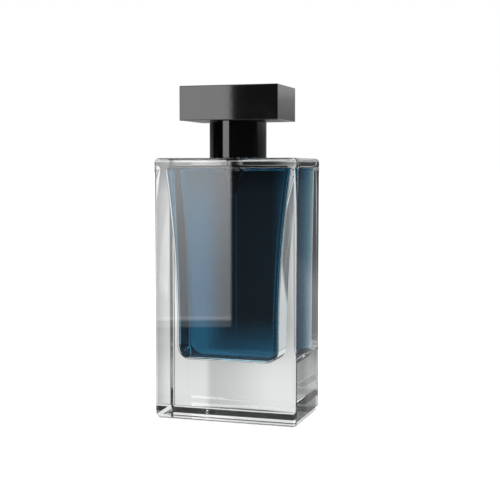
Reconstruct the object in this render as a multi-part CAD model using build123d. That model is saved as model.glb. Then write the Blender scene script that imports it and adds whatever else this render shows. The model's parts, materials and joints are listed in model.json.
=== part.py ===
from build123d import *
import math
import os

# Aftershave bottle: thick glass block, crimped spray pump, round collar, loose rectangular cap.
# Millimetres. +Z is up, the origin is the middle of the glass base, and the front faces -Y.

# ---------------------------------------------------------------- driving sizes
# Glass block
glass_width = 63.0
glass_depth = 37.8
shoulder_height = 111.7       # base to the flat shoulder
upright_edge_radius = 1.3
shoulder_edge_radius = 1.7
base_edge_radius = 2.2

# Cavity of the glass
base_thickness = 25.4
shoulder_thickness = 3.0
front_wall = 6.2              # front and back walls
side_wall_top = 3.25          # side walls under the shoulder
side_wall_low = 8.75          # side walls where they stand upright
upright_rise = 8.1            # cavity floor to the height where the side walls start to curve
floor_corner_radius = 6.0     # seen from the front
cavity_edge_radius = 2.4
liquid_headspace = 1.5        # cavity ceiling to the liquid's surface
wet_gap = 0.04                # liquid to the walls that it wets

# Crimp neck
neck_height = 9.0
neck_bore_radius = 4.7
neck_wall = 1.8
neck_root_radius = 0.9
bead_overhang = 1.0
bead_height = 3.6
bead_chamfer = 0.8

# Pump
gasket_thickness = 0.8
flange_thickness = 1.0
flange_inset = 0.3            # bead's edge to the edges of the flanges that lie on it
barrel_gap = 0.3              # barrel to the neck's bore
barrel_bore_radius = 3.0
barrel_bore_depth = 16.8      # flange top to the spring's seat
turret_flange = 0.8
turret_radius = 4.8
turret_rise = 3.05            # above the ferrule
turret_plug_depth = 1.5
stem_radius = 1.6
stem_bore_radius = 0.6
stem_flange_radius = 2.2
stem_flange_height = 1.0
stem_spigot_radius = 1.7
stem_spigot_height = 1.0
stem_port_radius = 0.35
piston_height = 3.0
piston_lip_height = 0.7
piston_waist_inset = 0.4
piston_recess_depth = 0.35
ball_radius = 1.2
ball_lift = 0.8
ball_rest_gap = 0.02
pocket_gap = 0.25             # ball to the wall of its pocket
lip_bite = 0.1                # how far the pocket's lip reaches over the ball
lip_height = 0.7
passage_radius = 0.7
passage_length = 1.0
pocket_wall = 1.55
tube_radius = 1.3
tube_bore_radius = 0.65
tube_floor_gap = 1.0
tube_cut_angle = 30.0         # of the tube's slanted lower end
tail_wall = 0.9
tail_length = 4.9
spring_wire = 0.45
spring_turns = 8
spring_bore_gap = 0.4
travel = 4.5                  # stroke of the pump

# Ferrule
ferrule_sheet = 0.35

# Spray button
button_radius = 6.5
button_skirt = 0.9
button_roof = 2.85            # nozzle axis to the button's top
button_low_gap = 0.4          # button to the collar's ledge at full stroke
turret_top_gap = 0.3          # button's inner ceiling to the turret at full stroke
sleeve_sheet = 0.35
nozzle_radius = 2.2
nozzle_length = 3.2
nozzle_wall = 0.7
nozzle_proud = 0.25
nozzle_post_radius = 1.2
orifice_radius = 0.2
feed_radius = 0.45
window_gap = 0.3
socket_wall = 1.6
stem_top_drop = 2.4           # stem's top to the nozzle axis

# Collar
grip_wall = 1.15
collar_air = 1.2              # between the insert's inner and outer tubes
insert_wall = 1.1
shell_wall = 0.8
ledge_height = 0.7
ledge_reach = 2.4             # turret to the ledge's inner edge
collar_over_ledge = 3.2
insert_web = 1.2
insert_foot_gap = 0.5
grip_foot_gap = 2.5
snap_bite = 0.45
spigot_inset = 2.55           # collar's outer edge to the spigot
spigot_wall = 1.2
spigot_rise = 3.05            # above the collar
spigot_chamfer = 0.4
nozzle_rim_clearance = 1.3    # nozzle axis to the spigot's rim at full stroke
key_width = 2.0
key_depth = 0.3

# Cap
cap_width = 43.5
cap_wall = 1.6
cap_side_room = 0.85          # socket to the cap's front and back walls
cap_headroom = 1.05           # spray button to the cap's ceiling
cap_edge_radius = 0.35
liner_plate = 1.4
socket_gap = 0.25             # spigot to the socket's bore
liner_socket_wall = 1.25
rib_count = 6
rib_width = 1.0
slug_gap = 0.3
slug_side_gap = 0.15
slug_height = 10.6
slug_edge_radius = 0.8
cap_lift = 25.0               # travel of the cap's stand-in slide

# Clearances
slip_fit = 0.05               # parts assembled by hand or held by a snap
press_gap = 0.02              # parts pressed or glued together
running_fit = 0.03            # parts that slide or turn on each other
over = 1.0                    # how far a cutting tool runs past the face that it opens

# ---------------------------------------------------------------- derived sizes
floor_z = base_thickness
ceiling_z = shoulder_height - shoulder_thickness
neck_top = shoulder_height + neck_height
neck_radius = neck_bore_radius + neck_wall
bead_radius = neck_radius + bead_overhang
bead_low = neck_top - bead_height
flange_radius = bead_radius - flange_inset

gasket_top = neck_top + gasket_thickness
flange_top = gasket_top + flange_thickness
turret_flange_top = flange_top + turret_flange
ferrule_top = turret_flange_top + ferrule_sheet
ferrule_inner = bead_radius + slip_fit
ferrule_outer = ferrule_inner + ferrule_sheet
turret_top = ferrule_top + turret_rise

barrel_radius = neck_bore_radius - barrel_gap
spring_seat = flange_top - barrel_bore_depth
pocket_radius = ball_radius + pocket_gap
lip_radius = ball_radius - lip_bite
lip_low = spring_seat - lip_height
seat_drop = pocket_radius - passage_radius       # depth of the 45 degree ball seat
lip_touch = math.sqrt(ball_radius**2 - lip_radius**2)
ball_high_z = lip_low - lip_touch - ball_rest_gap
ball_z = ball_high_z - ball_lift
seat_low = ball_z - ball_rest_gap - ball_radius * math.sqrt(2) + passage_radius
seat_high = seat_low + seat_drop
tube_top = seat_low - passage_length
tail_low = tube_top - tail_length
tail_radius = tube_radius + tail_wall
pocket_outer = pocket_radius + pocket_wall
tube_low = floor_z + tube_floor_gap

plug_low = flange_top - turret_plug_depth
stem_gasket_low = plug_low - gasket_thickness
piston_low = stem_gasket_low - piston_height
stem_flange_low = piston_low - stem_flange_height
piston_radius = barrel_bore_radius - running_fit
piston_recess_radius = stem_radius + piston_recess_depth

ledge_top = ferrule_top + ledge_height
collar_top = ledge_top + collar_over_ledge
grip_inner = ferrule_outer + slip_fit
grip_outer = grip_inner + grip_wall
insert_outer = grip_outer + collar_air + insert_wall
shell_inner = insert_outer + slip_fit
collar_radius = shell_inner + shell_wall
shell_web_low = collar_top - shell_wall
spigot_outer = collar_radius - spigot_inset
spigot_inner = spigot_outer - spigot_wall
spigot_top = collar_top + spigot_rise

nozzle_z = spigot_top + travel + nozzle_rim_clearance
button_low = ledge_top + travel + button_low_gap
button_ceiling = turret_top + travel + turret_top_gap
button_top = nozzle_z + button_roof
stem_top = nozzle_z - stem_top_drop
sleeve_inner = button_radius + press_gap
sleeve_outer = sleeve_inner + sleeve_sheet
sleeve_top = button_top + press_gap + sleeve_sheet

cap_ceiling = sleeve_top + cap_headroom
cap_top = cap_ceiling + cap_wall
socket_bore = spigot_outer + socket_gap
socket_outer = socket_bore + liner_socket_wall
cap_depth = 2 * (socket_outer + cap_side_room + cap_wall)
plate_top = collar_top + liner_plate
rib_inner = spigot_outer + slip_fit


# ---------------------------------------------------------------- shapes
def turned(*outline):
    """Turn a closed outline of (radius, height) points about Z."""
    return revolve(Plane.XZ * make_face(Polyline(*outline, close=True)), Axis.Z)


def ring(inner, outer, low, high):
    """A plain ring between two radii and two heights."""
    return turned((inner, low), (outer, low), (outer, high), (inner, high))


def rod(radius, low, high):
    """A solid round rod along Z."""
    return Pos(0, 0, low) * Cylinder(radius, high - low, align=(Align.CENTER, Align.CENTER, Align.MIN))


def front_rod(radius, z, front, back):
    """A solid round rod along Y, from y = front to y = back, at height z."""
    return Pos(0, (front + back) / 2, z) * Rot(90, 0, 0) * Cylinder(radius, back - front)


def block(width, depth, low, high):
    """A box centred on the Z axis between two heights."""
    return Pos(0, 0, low) * Box(width, depth, high - low, align=(Align.CENTER, Align.CENTER, Align.MIN))


def cavity(inset):
    """The glass's inner space, drawn in from its walls by inset.

    Seen from the front, each side wall stands upright above the floor and then leans outwards
    along one arc up to the ceiling.
    """
    half_low = glass_width / 2 - side_wall_low - inset
    half_top = glass_width / 2 - side_wall_top - inset
    low = floor_z + inset
    high = ceiling_z - inset
    bend = floor_z + upright_rise
    corner = floor_corner_radius - inset
    lean = half_top - half_low
    rise = high - bend
    arc_radius = (rise**2 + lean**2) / (2 * lean)
    half_angle = math.atan2(rise, arc_radius - lean) / 2
    mid_point = (
        half_low + arc_radius * (1 - math.cos(half_angle)),
        bend + arc_radius * math.sin(half_angle),
    )
    diagonal = corner * (1 - math.sqrt(0.5))
    right_side = [
        Line((0, low), (half_low - corner, low)),
        ThreePointArc(
            (half_low - corner, low),
            (half_low - diagonal, low + diagonal),
            (half_low, low + corner),
        ),
        Line((half_low, low + corner), (half_low, bend)),
        ThreePointArc((half_low, bend), mid_point, (half_top, high)),
        Line((half_top, high), (0, high)),
    ]
    left_side = [mirror(edge, Plane.YZ) for edge in right_side]
    outline = Plane.XZ * make_face(Curve() + right_side + left_side)
    depth = glass_depth - 2 * (front_wall + inset)
    solid = extrude(outline, depth / 2, both=True)
    return fillet(solid.edges().filter_by(lambda edge: edge.length > depth / 4), cavity_edge_radius - inset)


def glass_bottle():
    """The glass: a block with its cavity, and a neck with a crimp bead."""
    body = block(glass_width, glass_depth, 0, shoulder_height)
    body = fillet(body.edges().filter_by(Axis.Z), upright_edge_radius)
    body = fillet(body.faces().sort_by(Axis.Z)[0].edges(), base_edge_radius)
    body = fillet(body.faces().sort_by(Axis.Z)[-1].edges(), shoulder_edge_radius)
    neck = turned(
        (0, shoulder_height - shoulder_thickness / 2),
        (neck_radius, shoulder_height - shoulder_thickness / 2),
        (neck_radius, bead_low),
        (bead_radius - bead_chamfer, bead_low),
        (bead_radius, bead_low + bead_chamfer),
        (bead_radius, neck_top - bead_chamfer / 2),
        (bead_radius - bead_chamfer / 2, neck_top),
        (0, neck_top),
    )
    root = turned(
        (0, shoulder_height - shoulder_thickness / 2),
        (neck_radius + neck_root_radius, shoulder_height - shoulder_thickness / 2),
        (neck_radius + neck_root_radius, shoulder_height),
        (neck_radius, shoulder_height + neck_root_radius),
        (0, shoulder_height + neck_root_radius),
    )
    return body + neck + root - cavity(0) - rod(neck_bore_radius, ceiling_z - over, neck_top + over)


def barrel_outside(gap):
    """Outline of the barrel and its tail below the flange, from the top down, grown by gap."""
    return [
        (barrel_radius + gap, spring_seat - gap),
        (pocket_outer + gap, spring_seat - (barrel_radius - pocket_outer) - gap),
        (pocket_outer + gap, tube_top + (pocket_outer - tail_radius) - gap),
        (tail_radius + gap, tube_top - gap),
        (tail_radius + gap, tail_low - gap),
    ]


def pump_envelope(gap):
    """The outside of the barrel, its tail and the dip tube, grown by gap, for the liquid round them."""
    return turned(
        (0, neck_top),
        (barrel_radius + gap, neck_top),
        *barrel_outside(gap),
        (tube_radius + gap, tail_low - gap),
        (tube_radius + gap, tube_low - gap),
        (0, tube_low - gap),
    )


def aftershave_fill():
    """The liquid, up to its surface under the shoulder."""
    liquid_top = ceiling_z - liquid_headspace
    air = block(glass_width, glass_depth, liquid_top, neck_top)
    return cavity(wet_gap) - air - pump_envelope(wet_gap)


def pump_housing():
    """Barrel with a flange, the ball's pocket and seat, and the tail that takes the dip tube."""
    return turned(
        (barrel_bore_radius, flange_top),
        (flange_radius, flange_top),
        (flange_radius, gasket_top),
        (barrel_radius, gasket_top),
        *barrel_outside(0),
        (tube_radius + press_gap, tail_low),
        (tube_radius + press_gap, tube_top),
        (passage_radius, tube_top),
        (passage_radius, seat_low),
        (pocket_radius, seat_high),
        (pocket_radius, lip_low),
        (lip_radius, lip_low),
        (lip_radius, spring_seat),
        (barrel_bore_radius, spring_seat),
    )


def pump_turret():
    """Closure of the barrel: flange, tower that guides the stem, and plug in the barrel's mouth."""
    bore = stem_radius + running_fit
    top_chamfer = ferrule_sheet
    return turned(
        (bore, plug_low),
        (barrel_bore_radius - press_gap, plug_low),
        (barrel_bore_radius - press_gap, flange_top),
        (flange_radius, flange_top),
        (flange_radius, turret_flange_top),
        (turret_radius, turret_flange_top),
        (turret_radius, turret_top - top_chamfer),
        (turret_radius - top_chamfer, turret_top),
        (bore, turret_top),
    )


def crimp_ferrule():
    """Aluminium cup: top disc, skirt, and the edge turned in under the bead's chamfer."""
    slant_inner = bead_low + bead_chamfer + slip_fit * (1 - math.sqrt(2))
    slant_outer = bead_low + bead_chamfer + (slip_fit + ferrule_sheet) * (1 - math.sqrt(2))
    end_radius = bead_radius - bead_chamfer
    end_z = bead_low - slip_fit * math.sqrt(2)
    step = ferrule_sheet * math.sqrt(0.5)
    return turned(
        (turret_radius + slip_fit, turret_flange_top),
        (ferrule_inner, turret_flange_top),
        (ferrule_inner, slant_inner),
        (end_radius, end_z),
        (end_radius + step, end_z - step),
        (ferrule_outer, slant_outer),
        (ferrule_outer, ferrule_top),
        (turret_radius + slip_fit, ferrule_top),
    )


def dip_tube():
    """Clear tube from the tail to just above the cavity's floor, with a slanted lower end."""
    tube = ring(tube_bore_radius, tube_radius, tube_low, tube_top)
    wedge_depth = 2 * tube_radius * math.tan(math.radians(tube_cut_angle))
    wedge = Plane.XZ * make_face(
        Polyline(
            (-tube_radius, tube_low),
            (tube_radius, tube_low),
            (tube_radius, tube_low + wedge_depth),
            close=True,
        )
    )
    return tube - extrude(wedge, 2 * tube_radius, both=True)


def return_spring():
    """Open coil between its seat in the barrel and the underside of the stem's flange."""
    radius = barrel_bore_radius - spring_bore_gap - spring_wire / 2
    low = spring_seat + spring_wire / 2
    height = stem_flange_low - spring_seat - spring_wire
    path = Pos(0, 0, low) * Helix(height / spring_turns, height, radius)
    section = Plane(path @ 0, z_dir=path % 0) * Circle(spring_wire / 2)
    return sweep(section, path)


def pump_piston():
    """Moving seal on the stem: two lips, a waist, and a recess over the stem's ports."""
    inner = stem_radius + press_gap
    waist = piston_radius - piston_waist_inset
    recess_high = piston_low + piston_height / 2
    return turned(
        (piston_recess_radius, piston_low),
        (piston_radius, piston_low),
        (piston_radius, piston_low + piston_lip_height),
        (waist, piston_low + piston_lip_height + piston_waist_inset),
        (waist, stem_gasket_low - piston_lip_height - piston_waist_inset),
        (piston_radius, stem_gasket_low - piston_lip_height),
        (piston_radius, stem_gasket_low),
        (inner, stem_gasket_low),
        (inner, recess_high),
        (piston_recess_radius, recess_high),
    )


def pump_stem():
    """Hollow stem with the flange that the spring pushes, and two ports under the piston."""
    port_z = piston_low + piston_height / 4
    body = turned(
        (0, stem_flange_low - stem_spigot_height),
        (stem_spigot_radius, stem_flange_low - stem_spigot_height),
        (stem_spigot_radius, stem_flange_low),
        (stem_flange_radius, stem_flange_low),
        (stem_flange_radius, piston_low),
        (stem_radius, piston_low),
        (stem_radius, stem_top),
        (stem_bore_radius, stem_top),
        (stem_bore_radius, port_z - stem_port_radius),
        (0, port_z - stem_port_radius),
    )
    port = Pos(0, 0, port_z) * Rot(0, 90, 0) * Cylinder(stem_port_radius, 4 * stem_radius)
    return body - port


def spray_button():
    """Moulded actuator: skirt, stem socket, feed to the nozzle's pocket, and the swirl post."""
    feed_z = nozzle_z - nozzle_radius + feed_radius + press_gap
    pocket_back = nozzle_length + nozzle_proud - button_radius + feed_radius
    body = rod(button_radius, button_low, button_top)
    body -= rod(button_radius - button_skirt, button_low - over, button_ceiling)
    socket_outer_radius = stem_radius + socket_wall
    relief = ring(socket_outer_radius, button_radius - button_skirt, button_ceiling, nozzle_z)
    relief -= Pos(0, -button_radius, 0) * block(
        4 * button_radius, 2 * (button_radius - socket_outer_radius / 2), button_low, button_top
    )
    body -= relief
    body -= rod(stem_radius + running_fit, button_ceiling - over, stem_top + running_fit)
    body -= rod(stem_bore_radius, button_ceiling, feed_z + feed_radius)
    body -= front_rod(nozzle_radius, nozzle_z, -2 * button_radius, pocket_back)
    body -= front_rod(feed_radius, feed_z, pocket_back - feed_radius, 0)
    post_front = nozzle_wall - button_radius - nozzle_proud + press_gap
    body += front_rod(nozzle_post_radius, nozzle_z, post_front, pocket_back + feed_radius)
    return body


def button_sleeve():
    """Thin metal skin over the actuator, open below, with a round window for the nozzle."""
    skin = rod(sleeve_outer, button_low, sleeve_top)
    skin = fillet(skin.faces().sort_by(Axis.Z)[-1].edges(), sleeve_sheet)
    skin -= rod(sleeve_inner, button_low - over, button_top + press_gap)
    return skin - front_rod(nozzle_radius + window_gap, nozzle_z, -2 * sleeve_outer, 0)


def nozzle_insert():
    """Small cup pressed over the swirl post, with the spray orifice in a shallow dish."""
    front = -button_radius - nozzle_proud
    back = front + nozzle_length
    cup = front_rod(nozzle_radius - press_gap, nozzle_z, front, back)
    cup -= front_rod(nozzle_post_radius + press_gap, nozzle_z, front + nozzle_wall, back + over)
    dish = Pos(0, front, nozzle_z) * Rot(90, 0, 0) * Cone(orifice_radius, nozzle_radius / 2, nozzle_wall)
    return cup - dish - front_rod(orifice_radius, nozzle_z, front - over, front + nozzle_wall + over)


def collar_insert():
    """Plastic core: clips under the ferrule, sits on it, and guides the cap with its spigot."""
    grip_foot = shoulder_height + grip_foot_gap
    snap_top = bead_low + slip_fit
    core = turned(
        (grip_inner - snap_bite, grip_foot),
        (grip_inner - snap_bite, snap_top - snap_bite),
        (grip_inner, snap_top),
        (grip_inner, ferrule_top),
        (turret_radius + ledge_reach, ferrule_top),
        (turret_radius + ledge_reach, ledge_top),
        (spigot_inner, ledge_top),
        (spigot_inner, spigot_top),
        (spigot_outer - spigot_chamfer, spigot_top),
        (spigot_outer, spigot_top - spigot_chamfer),
        (spigot_outer, shell_web_low - press_gap),
        (insert_outer, shell_web_low - press_gap),
        (insert_outer, shoulder_height + insert_foot_gap),
        (insert_outer - insert_wall, shoulder_height + insert_foot_gap),
        (insert_outer - insert_wall, shell_web_low - insert_web),
        (grip_outer, shell_web_low - insert_web),
        (grip_outer, grip_foot),
    )
    key = Pos(0, spigot_outer - key_depth, 0) * block(
        key_width, 4 * key_depth, collar_top, spigot_top - spigot_chamfer
    )
    return core + key


def collar_shell():
    """Glossy tube from the shoulder to the cap, with a turned-in top round the spigot."""
    hole = spigot_outer + key_depth + 2 * slip_fit
    edge = shell_wall / 4
    return turned(
        (shell_inner, shoulder_height),
        (collar_radius, shoulder_height),
        (collar_radius, collar_top - edge),
        (collar_radius - edge, collar_top),
        (hole, collar_top),
        (hole, shell_web_low),
        (shell_inner, shell_web_low),
    )


def cap_shell():
    """Rectangular cap, open below, with very small outer edge radii."""
    shell = block(cap_width, cap_depth, collar_top, cap_top)
    shell = fillet(shell.edges(), cap_edge_radius)
    return shell - block(cap_width - 2 * cap_wall, cap_depth - 2 * cap_wall, collar_top - over, cap_ceiling)


def cap_liner():
    """Plate that closes the cap from below, with the ribbed socket that grips the spigot."""
    plate_inset = 2 * (cap_wall + press_gap)
    liner = block(cap_width - plate_inset, cap_depth - plate_inset, collar_top, plate_top)
    liner += rod(socket_outer, collar_top, cap_ceiling - press_gap)
    liner -= rod(socket_bore, collar_top - over, cap_ceiling + over)
    rib_depth = socket_bore - rib_inner
    for index in range(rib_count):
        rib = Pos(rib_inner + rib_depth, 0, 0) * block(
            2 * rib_depth, rib_width, collar_top, cap_ceiling - press_gap
        )
        liner += Rot(0, 0, (index + 0.5) * 360 / rib_count + 60) * rib
    groove_reach = spigot_outer + key_depth + 2 * slip_fit
    groove = Pos(0, groove_reach / 2, 0) * block(
        key_width + 2 * slip_fit, groove_reach, collar_top - over, cap_ceiling + over
    )
    return liner - groove


def cap_weights():
    """Two equal steel slugs on the plate, left and right of the socket."""
    inner_x = socket_outer + slug_gap
    outer_x = cap_width / 2 - cap_wall - slug_side_gap
    slug_depth = cap_depth - 2 * (cap_wall + slug_side_gap)
    slug = block(outer_x - inner_x, slug_depth, plate_top, plate_top + slug_height)
    slug = fillet(slug.edges().filter_by(Axis.Z), slug_edge_radius)
    middle = (inner_x + outer_x) / 2
    return Compound([Pos(side * middle, 0, 0) * slug for side in (-1, 1)])


# ---------------------------------------------------------------- pieces
pieces = {
    "glass_bottle": glass_bottle(),
    "aftershave_fill": aftershave_fill(),
    "neck_gasket": ring(neck_bore_radius - slip_fit, flange_radius, neck_top, gasket_top),
    "pump_housing": pump_housing(),
    "pump_turret": pump_turret(),
    "stem_gasket": ring(
        stem_radius + running_fit, barrel_bore_radius - press_gap, stem_gasket_low, plug_low
    ),
    "crimp_ferrule": crimp_ferrule(),
    "dip_tube": dip_tube(),
    "inlet_ball": Pos(0, 0, ball_z) * Sphere(ball_radius),
    "return_spring": return_spring(),
    "pump_piston": pump_piston(),
    "pump_stem": pump_stem(),
    "spray_button": spray_button(),
    "button_sleeve": button_sleeve(),
    "nozzle_insert": nozzle_insert(),
    "collar_insert": collar_insert(),
    "collar_shell": collar_shell(),
    "cap_shell": cap_shell(),
    "cap_liner": cap_liner(),
    "cap_weights": cap_weights(),
}

os.makedirs("parts", exist_ok=True)
for name, piece in pieces.items():
    export_step(piece, f"parts/{name}.step")

print(f"glass {glass_width} x {glass_depth} x {shoulder_height}, cap {cap_width} x {cap_depth:.2f}")
print(f"collar radius {collar_radius:.2f}, collar top {collar_top:.2f}, cap top {cap_top:.2f}")
print(f"stroke {travel}, ball lift {ball_lift}, cap lift {cap_lift}, ball centre {ball_z:.3f}")
print(f"spring seat {spring_seat:.2f}, liquid {pieces['aftershave_fill'].volume / 1000:.1f} ml")
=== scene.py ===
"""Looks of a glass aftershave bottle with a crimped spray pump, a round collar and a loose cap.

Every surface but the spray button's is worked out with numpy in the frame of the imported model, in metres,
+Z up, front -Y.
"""

import json
import logging
import math
from dataclasses import dataclass, field
from enum import Enum
from typing import Any, Iterable, Mapping, Sequence

import bpy
import numpy as np
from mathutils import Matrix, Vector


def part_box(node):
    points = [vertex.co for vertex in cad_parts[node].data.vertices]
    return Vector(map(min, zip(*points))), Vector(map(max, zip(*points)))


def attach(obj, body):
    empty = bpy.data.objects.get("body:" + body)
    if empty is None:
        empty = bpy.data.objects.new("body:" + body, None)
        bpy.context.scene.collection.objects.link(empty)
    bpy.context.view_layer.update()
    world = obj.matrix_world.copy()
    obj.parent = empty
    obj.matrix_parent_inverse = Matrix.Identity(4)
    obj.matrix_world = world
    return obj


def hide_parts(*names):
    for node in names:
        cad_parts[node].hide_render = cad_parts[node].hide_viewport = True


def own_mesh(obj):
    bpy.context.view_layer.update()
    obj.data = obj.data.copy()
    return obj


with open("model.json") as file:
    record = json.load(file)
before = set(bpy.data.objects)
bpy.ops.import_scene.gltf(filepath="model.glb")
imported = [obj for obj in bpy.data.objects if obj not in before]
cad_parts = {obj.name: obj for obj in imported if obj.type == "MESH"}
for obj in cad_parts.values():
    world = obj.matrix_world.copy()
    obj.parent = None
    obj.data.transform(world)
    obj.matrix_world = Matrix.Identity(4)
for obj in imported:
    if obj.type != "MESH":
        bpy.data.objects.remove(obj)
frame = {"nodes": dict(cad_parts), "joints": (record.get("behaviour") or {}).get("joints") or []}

MM = 0.001
Array = np.ndarray
Pair = tuple[float, float]
Triple = tuple[float, float, float]
Colour = tuple[float, float, float, float]
log = logging.getLogger("bottle")


# ============================================================ surfaces
@dataclass(frozen=True)
class Columns:
    """The directions round the Z axis in which a surface is worked out, one row per column.

    Attributes:
        reach: Place on the straight sides, from -1 to 1 in X and Y; zero on a round piece.
        facing: Unit outward direction in X and Y.
    """

    reach: Array
    facing: Array

    @classmethod
    def round(cls, count: int = 72) -> "Columns":
        """Even directions of a round piece; the last repeats the first.

        Args:
            count: How many directions make a full turn.

        Returns:
            The columns, with facing = (cos a, sin a) for even angles a.
        """
        return cls.at(np.linspace(0, 2 * np.pi, count + 1))

    @classmethod
    def at(cls, angles: Array) -> "Columns":
        """Directions of a round piece at chosen angles, in radians."""
        facing = np.stack([np.cos(angles), np.sin(angles)], 1)
        return cls(np.zeros_like(facing), facing)

    @classmethod
    def rectangle(cls, half_x: float, half_y: float, corner_steps: int = 10,
                  side_steps: int = 14) -> "Columns":
        """Directions of a rectangle with round corners, counter-clockwise from the middle of +X.

        Along a side the places are spaced as the tangent of an even angle, so that they also sit
        evenly round a circle inside the rectangle.

        Args:
            half_x: Half the size in X.
            half_y: Half the size in Y.
            corner_steps: Faces on each round corner.
            side_steps: Faces on each half of a side.

        Returns:
            The columns; the last repeats the first.
        """
        def spaced(across: float, along: float) -> Array:
            """Places from the middle of a side to its end, from 0 to 1."""
            limit = math.atan2(along, across)
            return np.tan(np.linspace(0, limit, side_steps + 1)) / math.tan(limit)

        rise, run = spaced(half_x, half_y), spaced(half_y, half_x)
        bend = np.linspace(0, np.pi / 2, corner_steps + 1)
        corner = np.stack([np.cos(bend), np.sin(bend)], 1)
        ones, zeros = np.ones_like(rise), np.zeros_like(rise)
        reach = [np.stack([ones, rise], 1), np.ones_like(corner), np.stack([run[::-1], ones], 1)]
        facing = [np.stack([ones, zeros], 1), corner, np.stack([zeros, ones], 1)]
        reach_quarter, facing_quarter = np.concatenate(reach), np.concatenate(facing)
        flip = np.array((-1.0, 1.0))
        reach_half = np.concatenate([reach_quarter, (reach_quarter * flip)[::-1]])
        facing_half = np.concatenate([facing_quarter, (facing_quarter * flip)[::-1]])
        return cls(
            np.concatenate([reach_half, (reach_half * -flip)[::-1]]),
            np.concatenate([facing_half, (facing_half * -flip)[::-1]]),
        )


@dataclass(frozen=True)
class Rows:
    """Level sections of a surface, in walking order, each with the direction of the walk.

    A section is a rectangle of half sizes `half` with corners of radius `corner` at `height`. The
    slopes say how each of the three changes along the walk.
    """

    half: Array
    corner: Array
    height: Array
    half_slope: Array
    corner_slope: Array
    height_slope: Array

    def __add__(self, other: "Rows") -> "Rows":
        """The walk along self, then along other."""
        pairs = zip(vars(self).values(), vars(other).values())
        return Rows(*[np.concatenate(pair) for pair in pairs])

    def back(self) -> "Rows":
        """The same walk from its end to its start.

        Returns:
            The sections in the opposite order, with their slopes turned round.
        """
        places = [self.half[::-1], self.corner[::-1], self.height[::-1]]
        slopes = [-self.half_slope[::-1], -self.corner_slope[::-1], -self.height_slope[::-1]]
        return Rows(*places, *slopes)

    @classmethod
    def turned(cls, walk: Array) -> "Rows":
        """Round sections.

        Args:
            walk: Rows of (radius, height, radius slope, height slope).

        Returns:
            Sections whose corner is the whole radius.
        """
        radius, height, radius_slope, height_slope = walk.T
        both = np.stack([radius, radius], 1)
        both_slope = np.stack([radius_slope, radius_slope], 1)
        return cls(both, radius, height, both_slope, radius_slope, height_slope)

    @classmethod
    def framed(cls, walk: Array, half_x: float, half_y: float, corner: float,
               shrink: float = 1.0) -> "Rows":
        """Sections of a rectangle that grows or shrinks by the walk's first number.

        Args:
            walk: Rows of (growth, height, growth slope, height slope).
            half_x: Half size in X where the growth is zero.
            half_y: Half size in Y where the growth is zero.
            corner: Corner radius where the growth is zero.
            shrink: How fast the corner radius falls as the rectangle shrinks; it stops at zero.

        Returns:
            The sections.
        """
        growth, height, growth_slope, height_slope = walk.T
        half = np.maximum(np.stack([half_x + growth, half_y + growth], 1), 0)
        radius = np.maximum(corner + shrink * growth, 0)
        radius_slope = np.where(radius > 0, shrink * growth_slope, 0)
        both_slope = np.stack([growth_slope, growth_slope], 1)
        return cls(half, radius, height, both_slope, radius_slope, height_slope)


def walk_round(corners: Sequence[Triple], closed: bool = True, steps: int = 5) -> Array:
    """Walk a polygon whose corners are rounded with arcs.

    An arc's centre stands one rounding to the side of the walk; its points turn about that centre
    by equal angles. A corner without rounding gives two rows at one place, so its edge is sharp.

    Args:
        corners: (reach, height, rounding) of each corner, counter-clockwise, in metres.
        closed: Whether the last corner joins the first.
        steps: Faces on each arc.

    Returns:
        Rows of (reach, height, reach slope, height slope).
    """
    places = np.array([corner[:2] for corner in corners])
    rows: list[Array] = []
    for index, (reach, height, rounding) in enumerate(corners):
        here = np.array((reach, height))
        arriving = here - places[index - 1]
        leaving = places[(index + 1) % len(places)] - here
        arriving = arriving / np.linalg.norm(arriving)
        leaving = leaving / np.linalg.norm(leaving)
        if not closed and index in (0, len(places) - 1):
            rows.append(np.concatenate([here, leaving if index == 0 else arriving])[None])
            continue
        turn = math.atan2(arriving[0] * leaving[1] - arriving[1] * leaving[0], arriving @ leaving)
        if rounding == 0 or abs(turn) < 1e-6:
            rows.append(np.array([[*here, *arriving], [*here, *leaving]]))
            continue
        start = here - arriving * rounding * math.tan(abs(turn) / 2)
        side = math.copysign(1, turn) * np.array((-arriving[1], arriving[0]))
        centre = start + rounding * side
        angles = np.linspace(0, turn, steps + 1)
        cosine, sine = np.cos(angles), np.sin(angles)
        turned = np.stack([cosine, sine, -sine, cosine], 1).reshape(-1, 2, 2)
        rows.append(np.concatenate([centre - rounding * (side @ turned), arriving @ turned], 1))
    if closed:
        rows.append(rows[0][:1])
    return np.concatenate(rows)


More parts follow.
